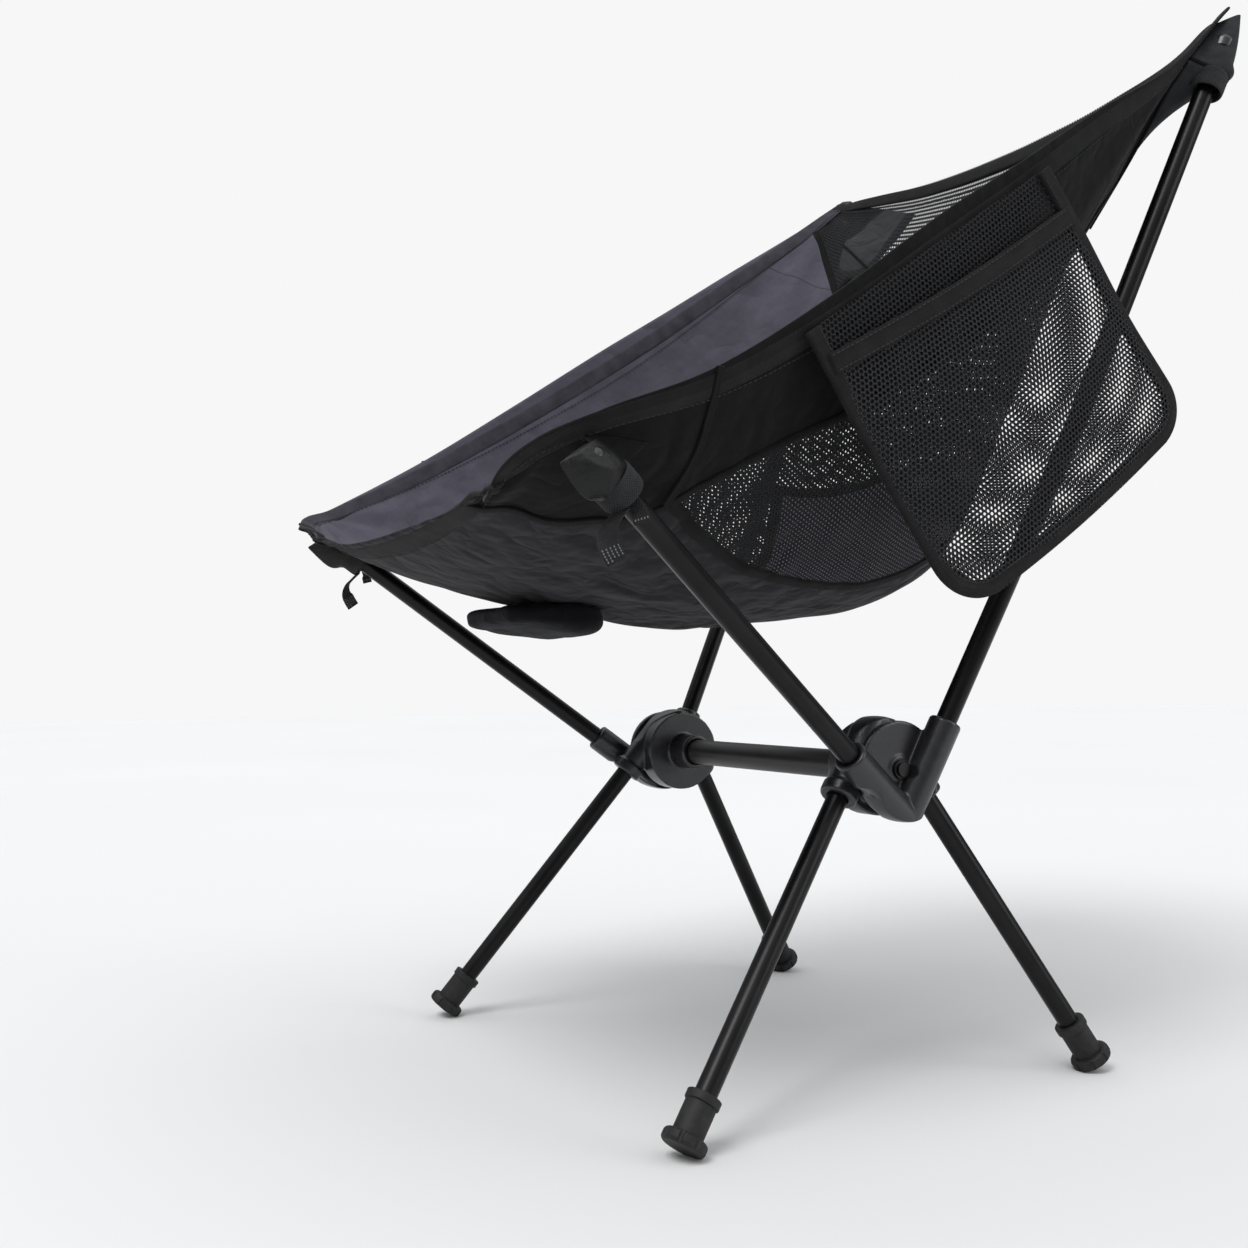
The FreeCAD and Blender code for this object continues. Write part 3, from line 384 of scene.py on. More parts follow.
def stitches(name, path, normals, body, lift, pitch=3.4 * MM, radius=0.32 * MM, material=None):
    """Rows of thread along a path, on both faces of the cloth."""
    steps = np.linalg.norm(np.diff(path, axis=0), axis=1)
    lengths = np.concatenate([[0], np.cumsum(steps)])
    centres = np.arange(pitch, lengths[-1] - pitch, pitch)
    tangents = unit(np.gradient(path, axis=0))
    ring = np.linspace(0, 2 * np.pi, 7)[:-1]
    profile = [(-0.5, 0.0), (-0.38, 0.8), (0.0, 1.0), (0.38, 0.8), (0.5, 0.0)]
    vertices, faces = [], []
    for centre in centres:
        place = np.array([np.interp(centre, lengths, path[:, k]) for k in range(3)])
        ahead = unit(np.array([np.interp(centre, lengths, tangents[:, k]) for k in range(3)]))
        up = unit(np.array([np.interp(centre, lengths, normals[:, k]) for k in range(3)]))
        aside = np.cross(up, ahead)
        for face in (1, -1):
            start = len(vertices)
            for reach, fat in profile:
                for angle in ring:
                    vertices.append(place + up * face * lift + ahead * reach * pitch * 0.78
                                    + (aside * math.cos(angle) + up * math.sin(angle)) * radius * fat)
            for i in range(len(profile) - 1):
                for j in range(6):
                    low, high = start + i * 6 + j, start + i * 6 + (j + 1) % 6
                    faces.append((low, high, high + 6, low + 6))
    return mesh_object(name, vertices, faces, material or THREAD, body)


# ---------------------------------------------------------------- the sling's surface
# Each station is a line across the sling, from the front hem to the top hem, in millimetres as in the
# CAD source: how far along it is, both side edges, the middle of the sling, and how square the sag is.
STATIONS = (
    # along   pocket side edge      other side edge       middle (y, z)  squareness
    (0.00, (150, -262, 336), (150, -272, 347), (-273, 326), 2.0),
    (0.07, (186, -252, 355), (186, -260, 359), (-234, 309), 2.1),
    (0.15, (206, -228, 369), (206, -236, 370), (-190, 296), 2.2),
    (0.30, (207, -165, 395), (207, -168, 408), (-108, 282), 2.4),
    (0.45, (206, -92, 440), (206, -93, 456), (-15, 278), 2.5),
    (0.60, (205, -12, 497), (205, -14, 508), (75, 294), 2.5),
    (0.70, (203, 46, 534), (203, 46, 546), (115, 342), 2.4),
    (0.80, (202, 110, 576), (202, 108, 586), (144, 420), 2.3),
    (0.90, (200, 178, 617), (200, 176, 629), (200, 535), 2.1),
    (1.00, (199, 232, 665), (199, 230, 665), (268, 667), 2.0),
)
MARKS = np.array([station[0] for station in STATIONS])


def station_curve(values, position, marks=MARKS):
    """Smooth curve through one number per mark."""
    values = np.asarray(values, dtype=float)
    marks = np.asarray(marks, dtype=float)
    slopes = np.empty_like(values)
    slopes[1:-1] = (values[2:] - values[:-2]) / (marks[2:] - marks[:-2])
    slopes[0] = (values[1] - values[0]) / (marks[1] - marks[0])
    slopes[-1] = (values[-1] - values[-2]) / (marks[-1] - marks[-2])
    i = np.clip(np.searchsorted(marks, position, side="right") - 1, 0, len(marks) - 2)
    step = marks[i + 1] - marks[i]
    t = (position - marks[i]) / step
    rise = t * t * (3 - 2 * t)
    bend = step * t * (1 - t) * ((1 - t) * slopes[i] - t * slopes[i + 1])
    return values[i] * (1 - rise) + values[i + 1] * rise + bend


def sling_plain(across, position):
    """The sling without its wrinkles; across runs from -1 to 1 (+X) and position from 0 to 1."""
    reach = np.abs(across)
    power = station_curve([station[4] for station in STATIONS], position)
    pull = reach ** power
    edge = []
    for k in range(3):
        near = station_curve([station[1][k] for station in STATIONS], position)
        far = station_curve([station[2][k] for station in STATIONS], position)
        edge.append(np.where(across >= 0, near, far))
    middle = [station_curve([station[3][k] for station in STATIONS], position) for k in range(2)]
    x = np.sign(across) * edge[0] * reach * (1.12 - 0.12 * reach * reach)
    y = edge[1] * pull + middle[0] * (1 - pull) + AXIS_Y
    z = edge[2] * pull + middle[1] * (1 - pull)
    return np.stack([x, y, z], axis=-1) * MM


def sling_normal(across, position):
    """Unit normal of the sling on the sitter's side."""
    step = 0.004
    over = (sling_plain(np.clip(across + step, -1, 1), position)
            - sling_plain(np.clip(across - step, -1, 1), position))
    up = (sling_plain(across, np.clip(position + step, 0, 1))
          - sling_plain(across, np.clip(position - step, 0, 1)))
    return unit(np.cross(over, up))


def ripples(points, seed, wavelength, count=9):
    """Smooth uneven waves over points, about 1 high, from a few slanted sines."""
    random = np.random.RandomState(seed)
    total = np.zeros(points.shape[:-1])
    for _ in range(count):
        direction = random.normal(size=3)
        direction /= np.linalg.norm(direction)
        length = wavelength * random.uniform(0.6, 1.8)
        phase = random.uniform(0, 2 * np.pi)
        total += np.sin(points @ direction * (2 * np.pi / length) + phase)
    return total / math.sqrt(count)


def wrinkle_height(across, position):
    """How far the cloth stands off the plain surface: slack waves, creases and pulls at the corners."""
    plain = sling_plain(across, position)
    slack = (1 - np.abs(across) ** 3) * np.sin(np.pi * np.clip(position, 0, 1)) ** 0.5
    broad = ripples(plain, 3, 0.085) * 1.5 * slack
    warped = plain + 0.012 * np.stack([ripples(plain, 5 + k, 0.07) for k in range(3)], axis=-1)
    crease = 1 - 1.4 * np.abs(ripples(warped, 11, 0.05))
    low_front = np.exp(-((position - 0.28) / 0.2) ** 2) * (1 - np.abs(across) ** 4)
    creases = np.clip(crease, -1, 1) * 1.5 * low_front
    pulls = np.zeros_like(plain[..., 0])
    for corner_across in (-1, 1):
        for corner_position, strength in ((0.1, 1.3), (0.97, 1.6)):
            du = (across - corner_across) * 0.75
            dv = (position - corner_position) * 1.7
            distance = np.sqrt(du * du + dv * dv) + 1e-6
            angle = np.arctan2(dv, du)
            fade = np.exp(-((distance - 0.22) / 0.16) ** 2) * np.clip((1 - np.abs(across)) * 12, 0, 1)
            pulls += strength * np.sin(angle * 11 + 5 * distance + corner_across) * fade
    edge_fade = np.clip((1 - np.abs(across)) * 14, 0, 1)
    return (broad + creases + pulls) * edge_fade * MM


def sling(across, position, lift=0.0):
    """Points and normals of the worked sling at a distance from its middle surface."""
    across, position = np.broadcast_arrays(np.asarray(across, float), np.asarray(position, float))
    normal = sling_normal(across, position)
    height = wrinkle_height(across, position)[..., None] + lift
    return sling_plain(across, position) + normal * height, normal


LAID_HALF_WIDTH = 0.25  # metres of cloth from the sling's middle line to its edge
LAID_LENGTH = 0.77      # metres of cloth from its front edge to its top edge
SEAT_POINT = 0.24       # position where the mesh starts at each side
SEAT_SIDE = 0.733       # across where the seat panel meets the wings and starts to narrow
WING_END = 0.905        # position where the wings end
NECK_SIDE = 0.645       # across where the seat panel is narrowest, behind the front hem
NECK_POSITION = 0.135   # position of that neck
NECK_FLARE = 8.0        # how fast the panel widens away from it
# The seat panel is a shield: its half width at positions from that point to its top corners.
SHIELD = ((0.24, 0.733), (0.33, 0.55), (0.42, 0.45), (0.51, 0.407), (0.60, 0.44), (0.70, 0.545))


def seat_neck(position):
    """Across value of the seat panel's sides ahead of its outer points: narrowest behind the front hem."""
    return NECK_SIDE + NECK_FLARE * (np.minimum(position, SEAT_POINT) - NECK_POSITION) ** 2


def seat_side(position):
    """Across value of the seat panel's side seams: a neck behind the front hem, then the shield."""
    back = station_curve([mark[1] for mark in SHIELD], np.clip(position, SHIELD[0][0], SHIELD[-1][0]),
                         [mark[0] for mark in SHIELD])
    return np.where(position <= SEAT_POINT, seat_neck(position), back)


def shield_top(across):
    """Position of the seat panel's arched top edge."""
    return SHIELD[-1][0] + 0.065 - 0.22 * across ** 2


def wing_inner(position):
    """Across value of the line where the wing meets the seat panel or the mesh."""
    rest = np.clip((WING_END - position) / (WING_END - SEAT_POINT), 0, 1)
    rear = np.clip((position - 0.6) / (WING_END - 0.6), 0, 1)
    behind = 0.85 - (0.85 - SEAT_SIDE) * rest ** 9 - 0.19 * rear ** 2
    return np.where(position <= SEAT_POINT, seat_neck(position), behind)


def wing_end(across):
    """Position of the wing's slanting rear end."""
    return WING_END - 0.008 + 0.157 * (across - 0.76)


def cloth(name, region, shape, material, thickness=1.0 * MM, lift=0.0, hides=(), doubled=False,
          flat=None):
    """One sling panel: region maps a, b in 0..1 to the sling's across and position."""
    a, b = np.meshgrid(np.linspace(0, 1, shape[0]), np.linspace(0, 1, shape[1]), indexing="ij")
    across, position = region(a, b)
    points, _ = sling(across, position, lift)
    uv = None if flat is None else np.stack([across * LAID_HALF_WIDTH, position * LAID_LENGTH], axis=2)
    made = grid_object(name, points, material, "seat", uv)
    if thickness:
        shell = thicken(made, thickness)
        shell.use_even_offset = True
        if doubled:
            shell.material_offset = 1
            shell.material_offset_rim = 1
    if hides:
        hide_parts(*hides)
    return made


def sling_path(across, position, lift=0.0):
    """A path on the sling for a ribbon or a stitch row, with its normals."""
    return sling(across, position, lift)


def mesh_outer(turn):
    """Outer edge of the mesh from one front point (0) over the top corners (0.42, 0.58) to the other (1)."""
    side = np.where(turn < 0.5, -1.0, 1.0)
    climb = np.clip(np.minimum(turn, 1 - turn) / 0.42, 0, 1)
    marks = (0.0, 0.80, 0.88, 1.0)
    position = np.interp(climb, marks, (SEAT_POINT, wing_end(0.68), wing_end(0.972), 0.992))
    corner = np.interp(climb, marks, (0.0, 0.68, 0.972, 0.99))
    reach = np.where(climb < 0.80, wing_inner(position) + 0.010, corner)
    level = np.clip((turn - 0.42) / 0.16, 0, 1)
    return np.where((turn > 0.42) & (turn < 0.58), 0.99 * (2 * level - 1), side * reach), position


def mesh_inner(turn):
    """Inner edge of the mesh, along the seat panel's shield."""
    side = np.where(turn < 0.5, -1.0, 1.0)
    climb = np.clip(np.minimum(turn, 1 - turn) / 0.42, 0, 1)
    position = SEAT_POINT + (SHIELD[-1][0] - SEAT_POINT) * climb
    corner = SHIELD[-1][1]
    level = corner * (2 * np.clip((turn - 0.42) / 0.16, 0, 1) - 1)
    middle = (turn > 0.42) & (turn < 0.58)
    return np.where(middle, level, side * seat_side(position)), np.where(middle, shield_top(level), position)


def sling_panels():
    def seat(a, b):
        side = 2 * a - 1
        position = b * shield_top(side * SHIELD[-1][1])
        return side * seat_side(position), position

    def mesh(a, b):
        inner, outer = mesh_inner(a), mesh_outer(a)
        return inner[0] + (outer[0] - inner[0]) * b, inner[1] + (outer[1] - inner[1]) * b

    # The seat panel's underside faces get the darker copy of the seat cloth: painted shade.
    cloth("seat_panel_cloth", seat, (150, 170), [INSIDE, UNDER_PAINTED_SHADE], hides=["seat_panel"],
          doubled=True)
    cloth("back_mesh_cloth", mesh, (420, 70), MESH, thickness=0, lift=-0.4 * MM, hides=["mesh_panel"],
          flat=(0.50, 0.60))
    for name, side in SIDES:
        def wing(a, b, side=side):
            out = 1 - a if side < 0 else a
            first = wing_inner(b * WING_END)
            position = b * wing_end(first + out * (1.0 - first))
            inner = wing_inner(position)
            return side * (inner + out * (1.0 - inner)), position

        # The wing's outer faces get the darker copy of the cloth: painted shade.
        cloth("side_wing_cloth_" + name, wing, (40, 190), [INSIDE, SIDE_CLOTH_PAINTED_SHADE], hides=["side_wing_" + name],
              doubled=True)


def sling_tapes():
    """Folded tapes round the sling's edges, the seams between its panels, and their thread."""
    count = 260
    along = np.linspace(0.0, 1.0, count)
    for name, side in SIDES:
        path, normals = sling_path(side * (1 - 0.026), along)
        made = ribbon("side_tape_" + name, path, normals, 12.5 * MM, 2.3 * MM, TAPE, "seat")
        made.data.materials.append(TAPE_PAINTED_LIGHT)
        rows = np.repeat(np.arange(count + 1), PROFILE_POINTS)
        place = np.tile(np.arange(PROFILE_POINTS), count + 1) + 0.5
        # Tape faces on the sitter's side take the lighter copy of the tape: painted light.
        inner = np.sin(place * 2 * np.pi / PROFILE_POINTS) > 0.25
        made.data.polygons.foreach_set("material_index", (inner & (rows < count)).astype(np.int32))
        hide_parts("side_binding_" + name)
        path, normals = sling_path(side * (1 - 0.046), along[2:-2])
        stitches("side_tape_thread_" + name, path, normals, "seat", 1.15 * MM)
        path, normals = sling_path(side * wing_inner(along * SEAT_POINT), along * SEAT_POINT, -0.9 * MM)
        ribbon("front_side_seam_" + name, path, normals, 6.0 * MM, 2.6 * MM, SEAM, "seat")
        position = SEAT_POINT + along * (WING_END - 0.002 - SEAT_POINT)
        path, normals = sling_path(side * wing_inner(position), position, -0.8 * MM)
        ribbon("wing_seam_" + name, path, normals, 5.0 * MM, 2.2 * MM, SEAM, "seat")
        path, normals = sling_path(side * (SEAT_SIDE + (1 - SEAT_SIDE) * along),
                                   SEAT_POINT - 0.005 + 0.07 * along, -0.9 * MM)
        ribbon("front_corner_seam_" + name, path, normals, 5.0 * MM, 2.2 * MM, SEAM, "seat")
        reach = 0.67 + 0.30 * along
        path, normals = sling_path(side * reach, wing_end(reach) - 0.002)
        ribbon("wing_end_seam_" + name, path, normals, 4.0 * MM, 1.8 * MM, SEAM, "seat")
        path, normals = sling_path(side * (0.97 - 0.28 * along), 0.837 + 0.050 * along ** 0.5)
        stitches("wing_arch_thread_" + name, path, normals, "seat", 0.6 * MM, pitch=2.4 * MM)
    sweep = np.linspace(-1, 1, count)
    corner = SHIELD[-1][1]
    path, normals = sling_path(sweep * corner, shield_top(sweep * corner))
    ribbon("shield_top_seam", path, normals, 8.0 * MM, 2.4 * MM, SEAM, "seat")
    for name, side in SIDES:
        position = SEAT_POINT + along * (SHIELD[-1][0] + 0.004 - SEAT_POINT)
        path, normals = sling_path(side * seat_side(position), position)
        ribbon("shield_side_seam_" + name, path, normals, 8.0 * MM, 2.4 * MM, SEAM, "seat")
    path, normals = sling_path(sweep, 0 * sweep + 0.018)
    front = ribbon("front_hem_tape", path, normals, 13.0 * MM, 2.5 * MM, HEM, "seat")
    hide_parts("front_hem")
    path, normals = sling_path(sweep * 0.995, 0 * sweep + 0.031)
    stitches("front_hem_thread", path, normals, "seat", 1.2 * MM)
    path, normals = sling_path(sweep, 0 * sweep + 0.985)
    top = ribbon("top_hem_tape", path, normals, 14.0 * MM, 2.5 * MM, TAPE, "seat")
    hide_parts("top_hem")
    path, normals = sling_path(sweep * 0.99, 0 * sweep + 0.973)
    stitches("top_hem_thread", path, normals, "seat", 1.2 * MM)


# ---------------------------------------------------------------- corner pockets, bands and pull tabs
def node_axis(node):
    """The middle of a round CAD node's two ends, lower end first, from its own vertices."""
    mesh = frame["nodes"][node].data
    points = np.array([v.co for v in mesh.vertices])
    centre = points.mean(axis=0)
    _, _, directions = np.linalg.svd(points - centre)
    axis = directions[0] if directions[0][2] > 0 else -directions[0]
    reach = (points - centre) @ axis
    return centre + axis * reach.min(), centre + axis * reach.max()


# Rings of a front corner pocket from its mouth to its end, as (along the pole, up, outwards) in
# millimetres from the middle of its webbing band: a round mouth, folded flat at a slanting end.
FRONT_POCKET = (
    ((-8, 9.6, 0), (-8, 6.8, 6.8), (-8, 0, 9.6), (-8, -6.8, 6.8), (-8, -9.6, 0), (-8, -6.8, -6.8),
     (-8, 0, -9.6), (-8, 6.8, -6.8)),
    ((0, 10.6, 0), (0, 7.2, 7.4), (0, 0, 10.4), (0, -7.6, 7.6), (0, -11.5, 0), (0, -7.6, -7),
     (0, 0, -9.8), (0, 7, -7)),
    ((3, 13.4, 0), (5, 9.5, 7.6), (7, 0.5, 11.6), (6, -10, 8.6), (5, -15, 0), (6, -9, -7),
     (6, 0, -9), (4, 8, -7)),
    ((9, 13.2, 0), (11, 8.5, 7.4), (14, -3.5, 12.4), (12, -13, 8.0), (11, -18.6, 0), (12, -12, -6),
     (12, -1, -8), (10, 8, -6)),
    ((16, 12.4, 0), (18, 6.6, 5.4), (21, -7.5, 9.0), (20, -14, 4.4), (19, -18.2, -0.6), (20, -12, -4),
     (19, -2, -6), (17, 7, -4)),
    ((23, 9.5, 0), (25.5, 4, 2.0), (28.5, -5, 3.0), (31, -11, 1.6), (33, -16, 0), (31, -11, -1.4),
     (28.5, -4, -2.2), (25.5, 4, -1.6)),
)
# From the end of a seat pole to the middle of the webbing band round its pocket.
FRONT_BAND = 14.4 * MM
REAR_BAND = 25.5 * MM


def pole_frame(pole):
    """End of a seat pole, its axis towards that end, the upright across it, and outwards."""
    low, high = node_axis(pole)
    axis = unit(high - low)
    up = unit(np.array([0.0, 0.0, 1.0]) - axis * axis[2])
    outward = np.cross(axis, up)
    if outward[0] * high[0] < 0:
        outward = -outward
    return high, axis, up, outward


def front_pocket(name, end, axis, up, outward):
    """A folded envelope of coated cloth over a front pole tip, with creased flat facets."""
    origin = end - axis * FRONT_BAND
    rings = np.array(FRONT_POCKET) * MM
    points = (origin + rings[..., :1] * axis + rings[..., 1:2] * up + rings[..., 2:] * outward).reshape(-1, 3)
    faces = []
    for i in range(len(rings) - 1):
        for j in range(8):
            low, high = i * 8 + j, i * 8 + (j + 1) % 8
            faces.append((low, high, high + 8, low + 8))
    last = (len(rings) - 1) * 8
    faces.append(tuple(range(last, last + 8)))
    made = mesh_object("corner_pocket_front_" + name, points, faces, COATED, "seat")
    folds = {2: 0.75, 4: 0.8, 0: 0.6}
    creases = made.data.attributes.new("crease_edge", "FLOAT", "EDGE")
    for edge in made.data.edges:
        a, b = sorted(edge.vertices)
        if a >= last:
            creases.data[edge.index].value = 0.7
        elif b - a == 8 and a >= 16:
            creases.data[edge.index].value = folds.get(a % 8, 0.0)
    made.modifiers.new("round", "SUBSURF").levels = 3
    made.modifiers["round"].render_levels = 3
    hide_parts("corner_sleeve_front_" + name)


def corner_web(name, side, end, axis, up, outward):
    """The fold of side cloth that joins a front corner pocket to the sling."""
    t, across = np.meshgrid(np.linspace(0, 1, 24), np.linspace(0, 1, 16), indexing="ij")
    origin = end - axis * FRONT_BAND
    pocket = (origin + axis * (2 + 26 * t[..., None]) * MM + up * (9.0 - 3.0 * t[..., None]) * MM
              - outward * 3.0 * MM)
    cloth_line, _ = sling(side * (0.90 + 0.05 * t), 0.205 - 0.075 * t, -0.7 * MM)
    points = pocket + (cloth_line - pocket) * across[..., None]
    points = points - up * (np.sin(np.pi * across) * 1.5 * MM)[..., None]
    # The fold uses the darker copy of the side cloth: painted shade.
    made = grid_object("corner_web_" + name, points, SIDE_CLOTH_PAINTED_SHADE, "seat")
    thicken(made, 1.0 * MM)


def smooth_rows(points, count):
    """Catmull-Rom curves through the points of each row."""
    before = 2 * points[:, :1] - points[:, 1:2]
    after = 2 * points[:, -1:] - points[:, -2:-1]
    padded = np.concatenate([before, points, after], axis=1)
    spans = points.shape[1] - 1
    place = np.linspace(0, spans, count)
    i = np.minimum(place.astype(int), spans - 1)
    t = (place - i)[None, :, None]
    p0, p1, p2, p3 = (padded[:, i + k] for k in range(4))
    return 0.5 * (2 * p1 + (p2 - p0) * t + (2 * p0 - 5 * p1 + 4 * p2 - p3) * t ** 2
                  + (3 * p1 - p0 - 3 * p2 + p3) * t ** 3)


def rear_pocket(name, side, end, axis, up, outward):
    """Black cloth patch on the outside of a top corner, that bulges over the pole's end."""
    back = unit(np.cross(axis, outward))
    if back[1] < 0:
        back = -back
    rows = []
    rows.append([sling(side * s, wing_end(s) + 0.002, -1.2 * MM)[0]
                 for s in (0.965, 0.93, 0.89, 0.82, 0.72, 0.60)])
    for t in (0.0, 0.25, 0.5, 0.75, 1.0):
        centre = end + axis * (-19.0 + 44.0 * t) * MM
        wide = (10.4 - 7.0 * t ** 2) * MM
        low = 0.936 + 0.050 * t
        rows.append([
            sling(side * 0.962, low, -1.0 * MM)[0],
            centre + outward * wide * 0.75 + back * wide * 0.3,
            centre + outward * wide * 0.3 + back * wide * 0.95,
            centre - outward * wide * 0.7 + back * wide * 0.75,
            sling(side * (0.80 - 0.02 * t), low - 0.006, -2.4 * MM)[0],
            sling(side * (0.60 - 0.09 * t), low - 0.020, -1.4 * MM)[0]])
    coarse = smooth_rows(np.array(rows), 60)
    points = smooth_rows(coarse.transpose(1, 0, 2), 60).transpose(1, 0, 2)
    folds = ripples(points, 51, 0.05)[..., None] * unit(points - (end - axis * 0.02)) * 0.5 * MM
    made = grid_object("rear_corner_cloth_" + name, points + folds, CORNER_CLOTH, "seat")
    thicken(made, 1.0 * MM)
    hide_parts("rear_corner_patch_" + name, "corner_sleeve_rear_" + name)
    piping = points[0]
    ribbon("rear_corner_seam_" + name, piping, np.tile(-back, (len(piping), 1)), 3.4 * MM, 2.4 * MM,
                   SEAM, "seat")
    mouth = smooth_rows(coarse[1][None], 60)[0]
    ribbon("rear_corner_mouth_" + name, mouth, np.tile(axis, (len(mouth), 1)), 2.6 * MM, 2.6 * MM,
                   SEAM, "seat")


def pocket_band(name, which, end, axis, up, outward):
    """Webbing wound round the mouth of a corner pocket."""
    turn = np.linspace(0, 2 * np.pi, 73)
    radius = (11.0 if which == "front" else 10.4) * MM
    middle = end - axis * (FRONT_BAND if which == "front" else REAR_BAND)
    path = middle + radius * (up[None] * np.cos(turn)[:, None] + outward[None] * np.sin(turn)[:, None])
    normals = path - middle
    made = ribbon("webbing_band_%s_%s" % (which, name), path, normals, 13.0 * MM, 1.7 * MM, WEBBING, "seat")
    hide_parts("pocket_band_%s_%s" % (which, name))


def pull_tab(name, side, end, axis, up, outward):
    """A webbing strap that hangs from the band: a short stitched end and a longer curled one."""
    middle = end - axis * FRONT_BAND
    long_strap = ((2, 2, -11), (3, -2, -15), (4, -6, -20), (4, -7, -26), (4, -5, -31), (4, -2, -36))
    short_strap = ((4, 6, -8), (6, 8, -11), (7, 9, -14), (7, 10, -18))
    for label, strap, width, face in (("long", long_strap, 10.5, 0.75), ("short", short_strap, 8.0, 0.2)):
        path = smooth_rows((np.array(strap, float) * MM)[None], 40)[0]
        path = middle + path * np.array([side, 1.0, 1.0])
        turn = np.clip(np.linspace(-face, 1.6, 40), 0, 1)[:, None]
        normals = unit(np.array([0.25 * side, -0.9, 0.35]) * (1 - turn)
                       + np.array([0.9 * side, -0.35, -0.1]) * turn)
        made = ribbon("pull_tab_%s_%s" % (label, name), path, normals, width * MM, 1.6 * MM, WEBBING, "seat")
        tangents = unit(np.gradient(path, axis=0))
        along = np.sum(normals * tangents, axis=1, keepdims=True)
        aside = np.cross(unit(normals - tangents * along), tangents)
        for row in range(5):
            shift = (row - 2) * width * 0.19 * MM
            stitches("pull_tab_tack_%s_%d_%s" % (label, row, name), path[-13:] + aside[-13:] * shift,
                     normals[-13:], "seat", 0.8 * MM, pitch=1.5 * MM, radius=0.4 * MM, material=TACK)
    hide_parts("pull_tab_" + name)


def corners():
    for name, side in SIDES:
        front = pole_frame("front_pole_" + name)
        rear = pole_frame("rear_pole_upper_" + name)
        front_pocket(name, *front)
        corner_web(name, side, *front)
        rear_pocket(name, side, *rear)
        pocket_band(name, "front", *front)
        pocket_band(name, "rear", *rear)
        pull_tab(name, side, *front)


# ---------------------------------------------------------------- side pocket
FLAP_START = np.array([0.0, -108.0, 417.0]) * MM
FLAP_SLOPE = math.radians(33.7)
FLAP_ALONG = np.array([0.0, math.cos(FLAP_SLOPE), math.sin(FLAP_SLOPE)])
FLAP_DOWN = np.array([0.0, math.sin(FLAP_SLOPE), -math.cos(FLAP_SLOPE)])
FLAP_TOP = 208 * MM
FLAP_DEPTH = 176 * MM
TAPE_WIDTH = 10 * MM


def flap_sides(down):
    """Where the pocket's two sides are at a depth below its top edge, with round lower corners."""
    ratio = down / FLAP_DEPTH
    front = (2.5 * ratio - 1.5 * np.sin(np.pi * ratio)) * MM
    rear = FLAP_TOP + (17 * ratio - 1.5 * np.sin(np.pi * ratio)) * MM
    for_front = np.clip((down - FLAP_DEPTH + 33 * MM) / (33 * MM), 0, 1)
    for_rear = np.clip((down - FLAP_DEPTH + 27 * MM) / (27 * MM), 0, 1)
    front = front + 33 * MM * (1 - np.sqrt(np.clip(1 - for_front ** 2, 0, 1)))
    rear = rear - 30 * MM * (1 - np.sqrt(np.clip(1 - for_rear ** 2, 0, 1)))
    return front, rear


def flap_point(along, down, out):
    """World point of the pocket's own coordinates; out is the distance from the plane's inner face."""
    along, down, out = np.broadcast_arrays(along, down, out)
    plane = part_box("pocket_back_mesh")[0][0]
    sag = 5 * MM * np.sin(np.pi * np.clip(along / (FLAP_TOP + 15 * MM), 0, 1)) * (down / FLAP_DEPTH) ** 2
    place = FLAP_START + along[..., None] * FLAP_ALONG + (down + sag)[..., None] * FLAP_DOWN
    place = place + np.array([1.0, 0, 0]) * (plane + out)[..., None]
    flat = np.stack([along, down, 0 * down], axis=-1)
    hang = np.sin(np.pi * np.clip(down / FLAP_DEPTH, 0, 1)) ** 0.6
    wave = ripples(flat, 31, 0.12) * 1.3 * MM * hang * (0.4 + 0.6 * np.clip(down / FLAP_DEPTH, 0, 1))
    place[..., 0] += wave
    return place


def flap_layer(name, top, out, belly, material, hides):
    """One mesh layer of the pocket from a line below its top edge down to its rounded bottom."""
    a, b = np.meshgrid(np.linspace(0, 1, 110), np.linspace(0, 1, 100), indexing="ij")
    ease = np.sin(b * np.pi / 2)
    start = top[0] + (top[1] - top[0]) * a
    down = start + (FLAP_DEPTH - 0.3 * MM - start) * ease
    front, rear = flap_sides(down)
    inset = 2.0 * MM
    along = front + inset + (rear - front - 2 * inset) * a
    flat = np.stack([along, down, 0 * down], axis=-1)
    share = np.clip((down - start) / (FLAP_DEPTH - start + 1e-9), 0, 1)
    shape = np.sin(np.pi * a) ** 0.7 * np.sin(np.pi * share ** 0.8)
    crumple = ripples(flat, 37 if belly > 0 else 38, 0.06) * 0.8 * MM * np.sin(np.pi * a) ** 0.5
    points = flap_point(along, down, out + belly * shape + crumple * shape)
    made = grid_object(name, points, material, "side_pocket", np.stack([along, down], axis=2))
    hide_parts(hides)


def flap_outline(inset):
    """Path down the front side, round the bottom and up the rear side."""
    slowing = 0.8 + 0.2 * np.sin(np.linspace(0.05, np.pi / 2, 40))
    down = np.concatenate([np.linspace(0, 0.8, 60), slowing]) * FLAP_DEPTH
    front, rear = flap_sides(np.minimum(down, FLAP_DEPTH * 0.99999))
    first = np.stack([front, down], axis=1)
    last = np.stack([rear, down], axis=1)[::-1]
    bottom_x = np.linspace(front[-1], rear[-1], 60)[1:-1]
    bottom = np.stack([bottom_x, 0 * bottom_x + FLAP_DEPTH], axis=1)
    outline = np.concatenate([first, bottom, last])
    for _ in range(6):
        outline[1:-1] = (outline[:-2] + outline[1:-1] * 2 + outline[2:]) / 4
    tangent = unit(np.gradient(outline, axis=0))
    inward = np.stack([tangent[:, 1], -tangent[:, 0]], axis=1)
    return outline + inward * inset


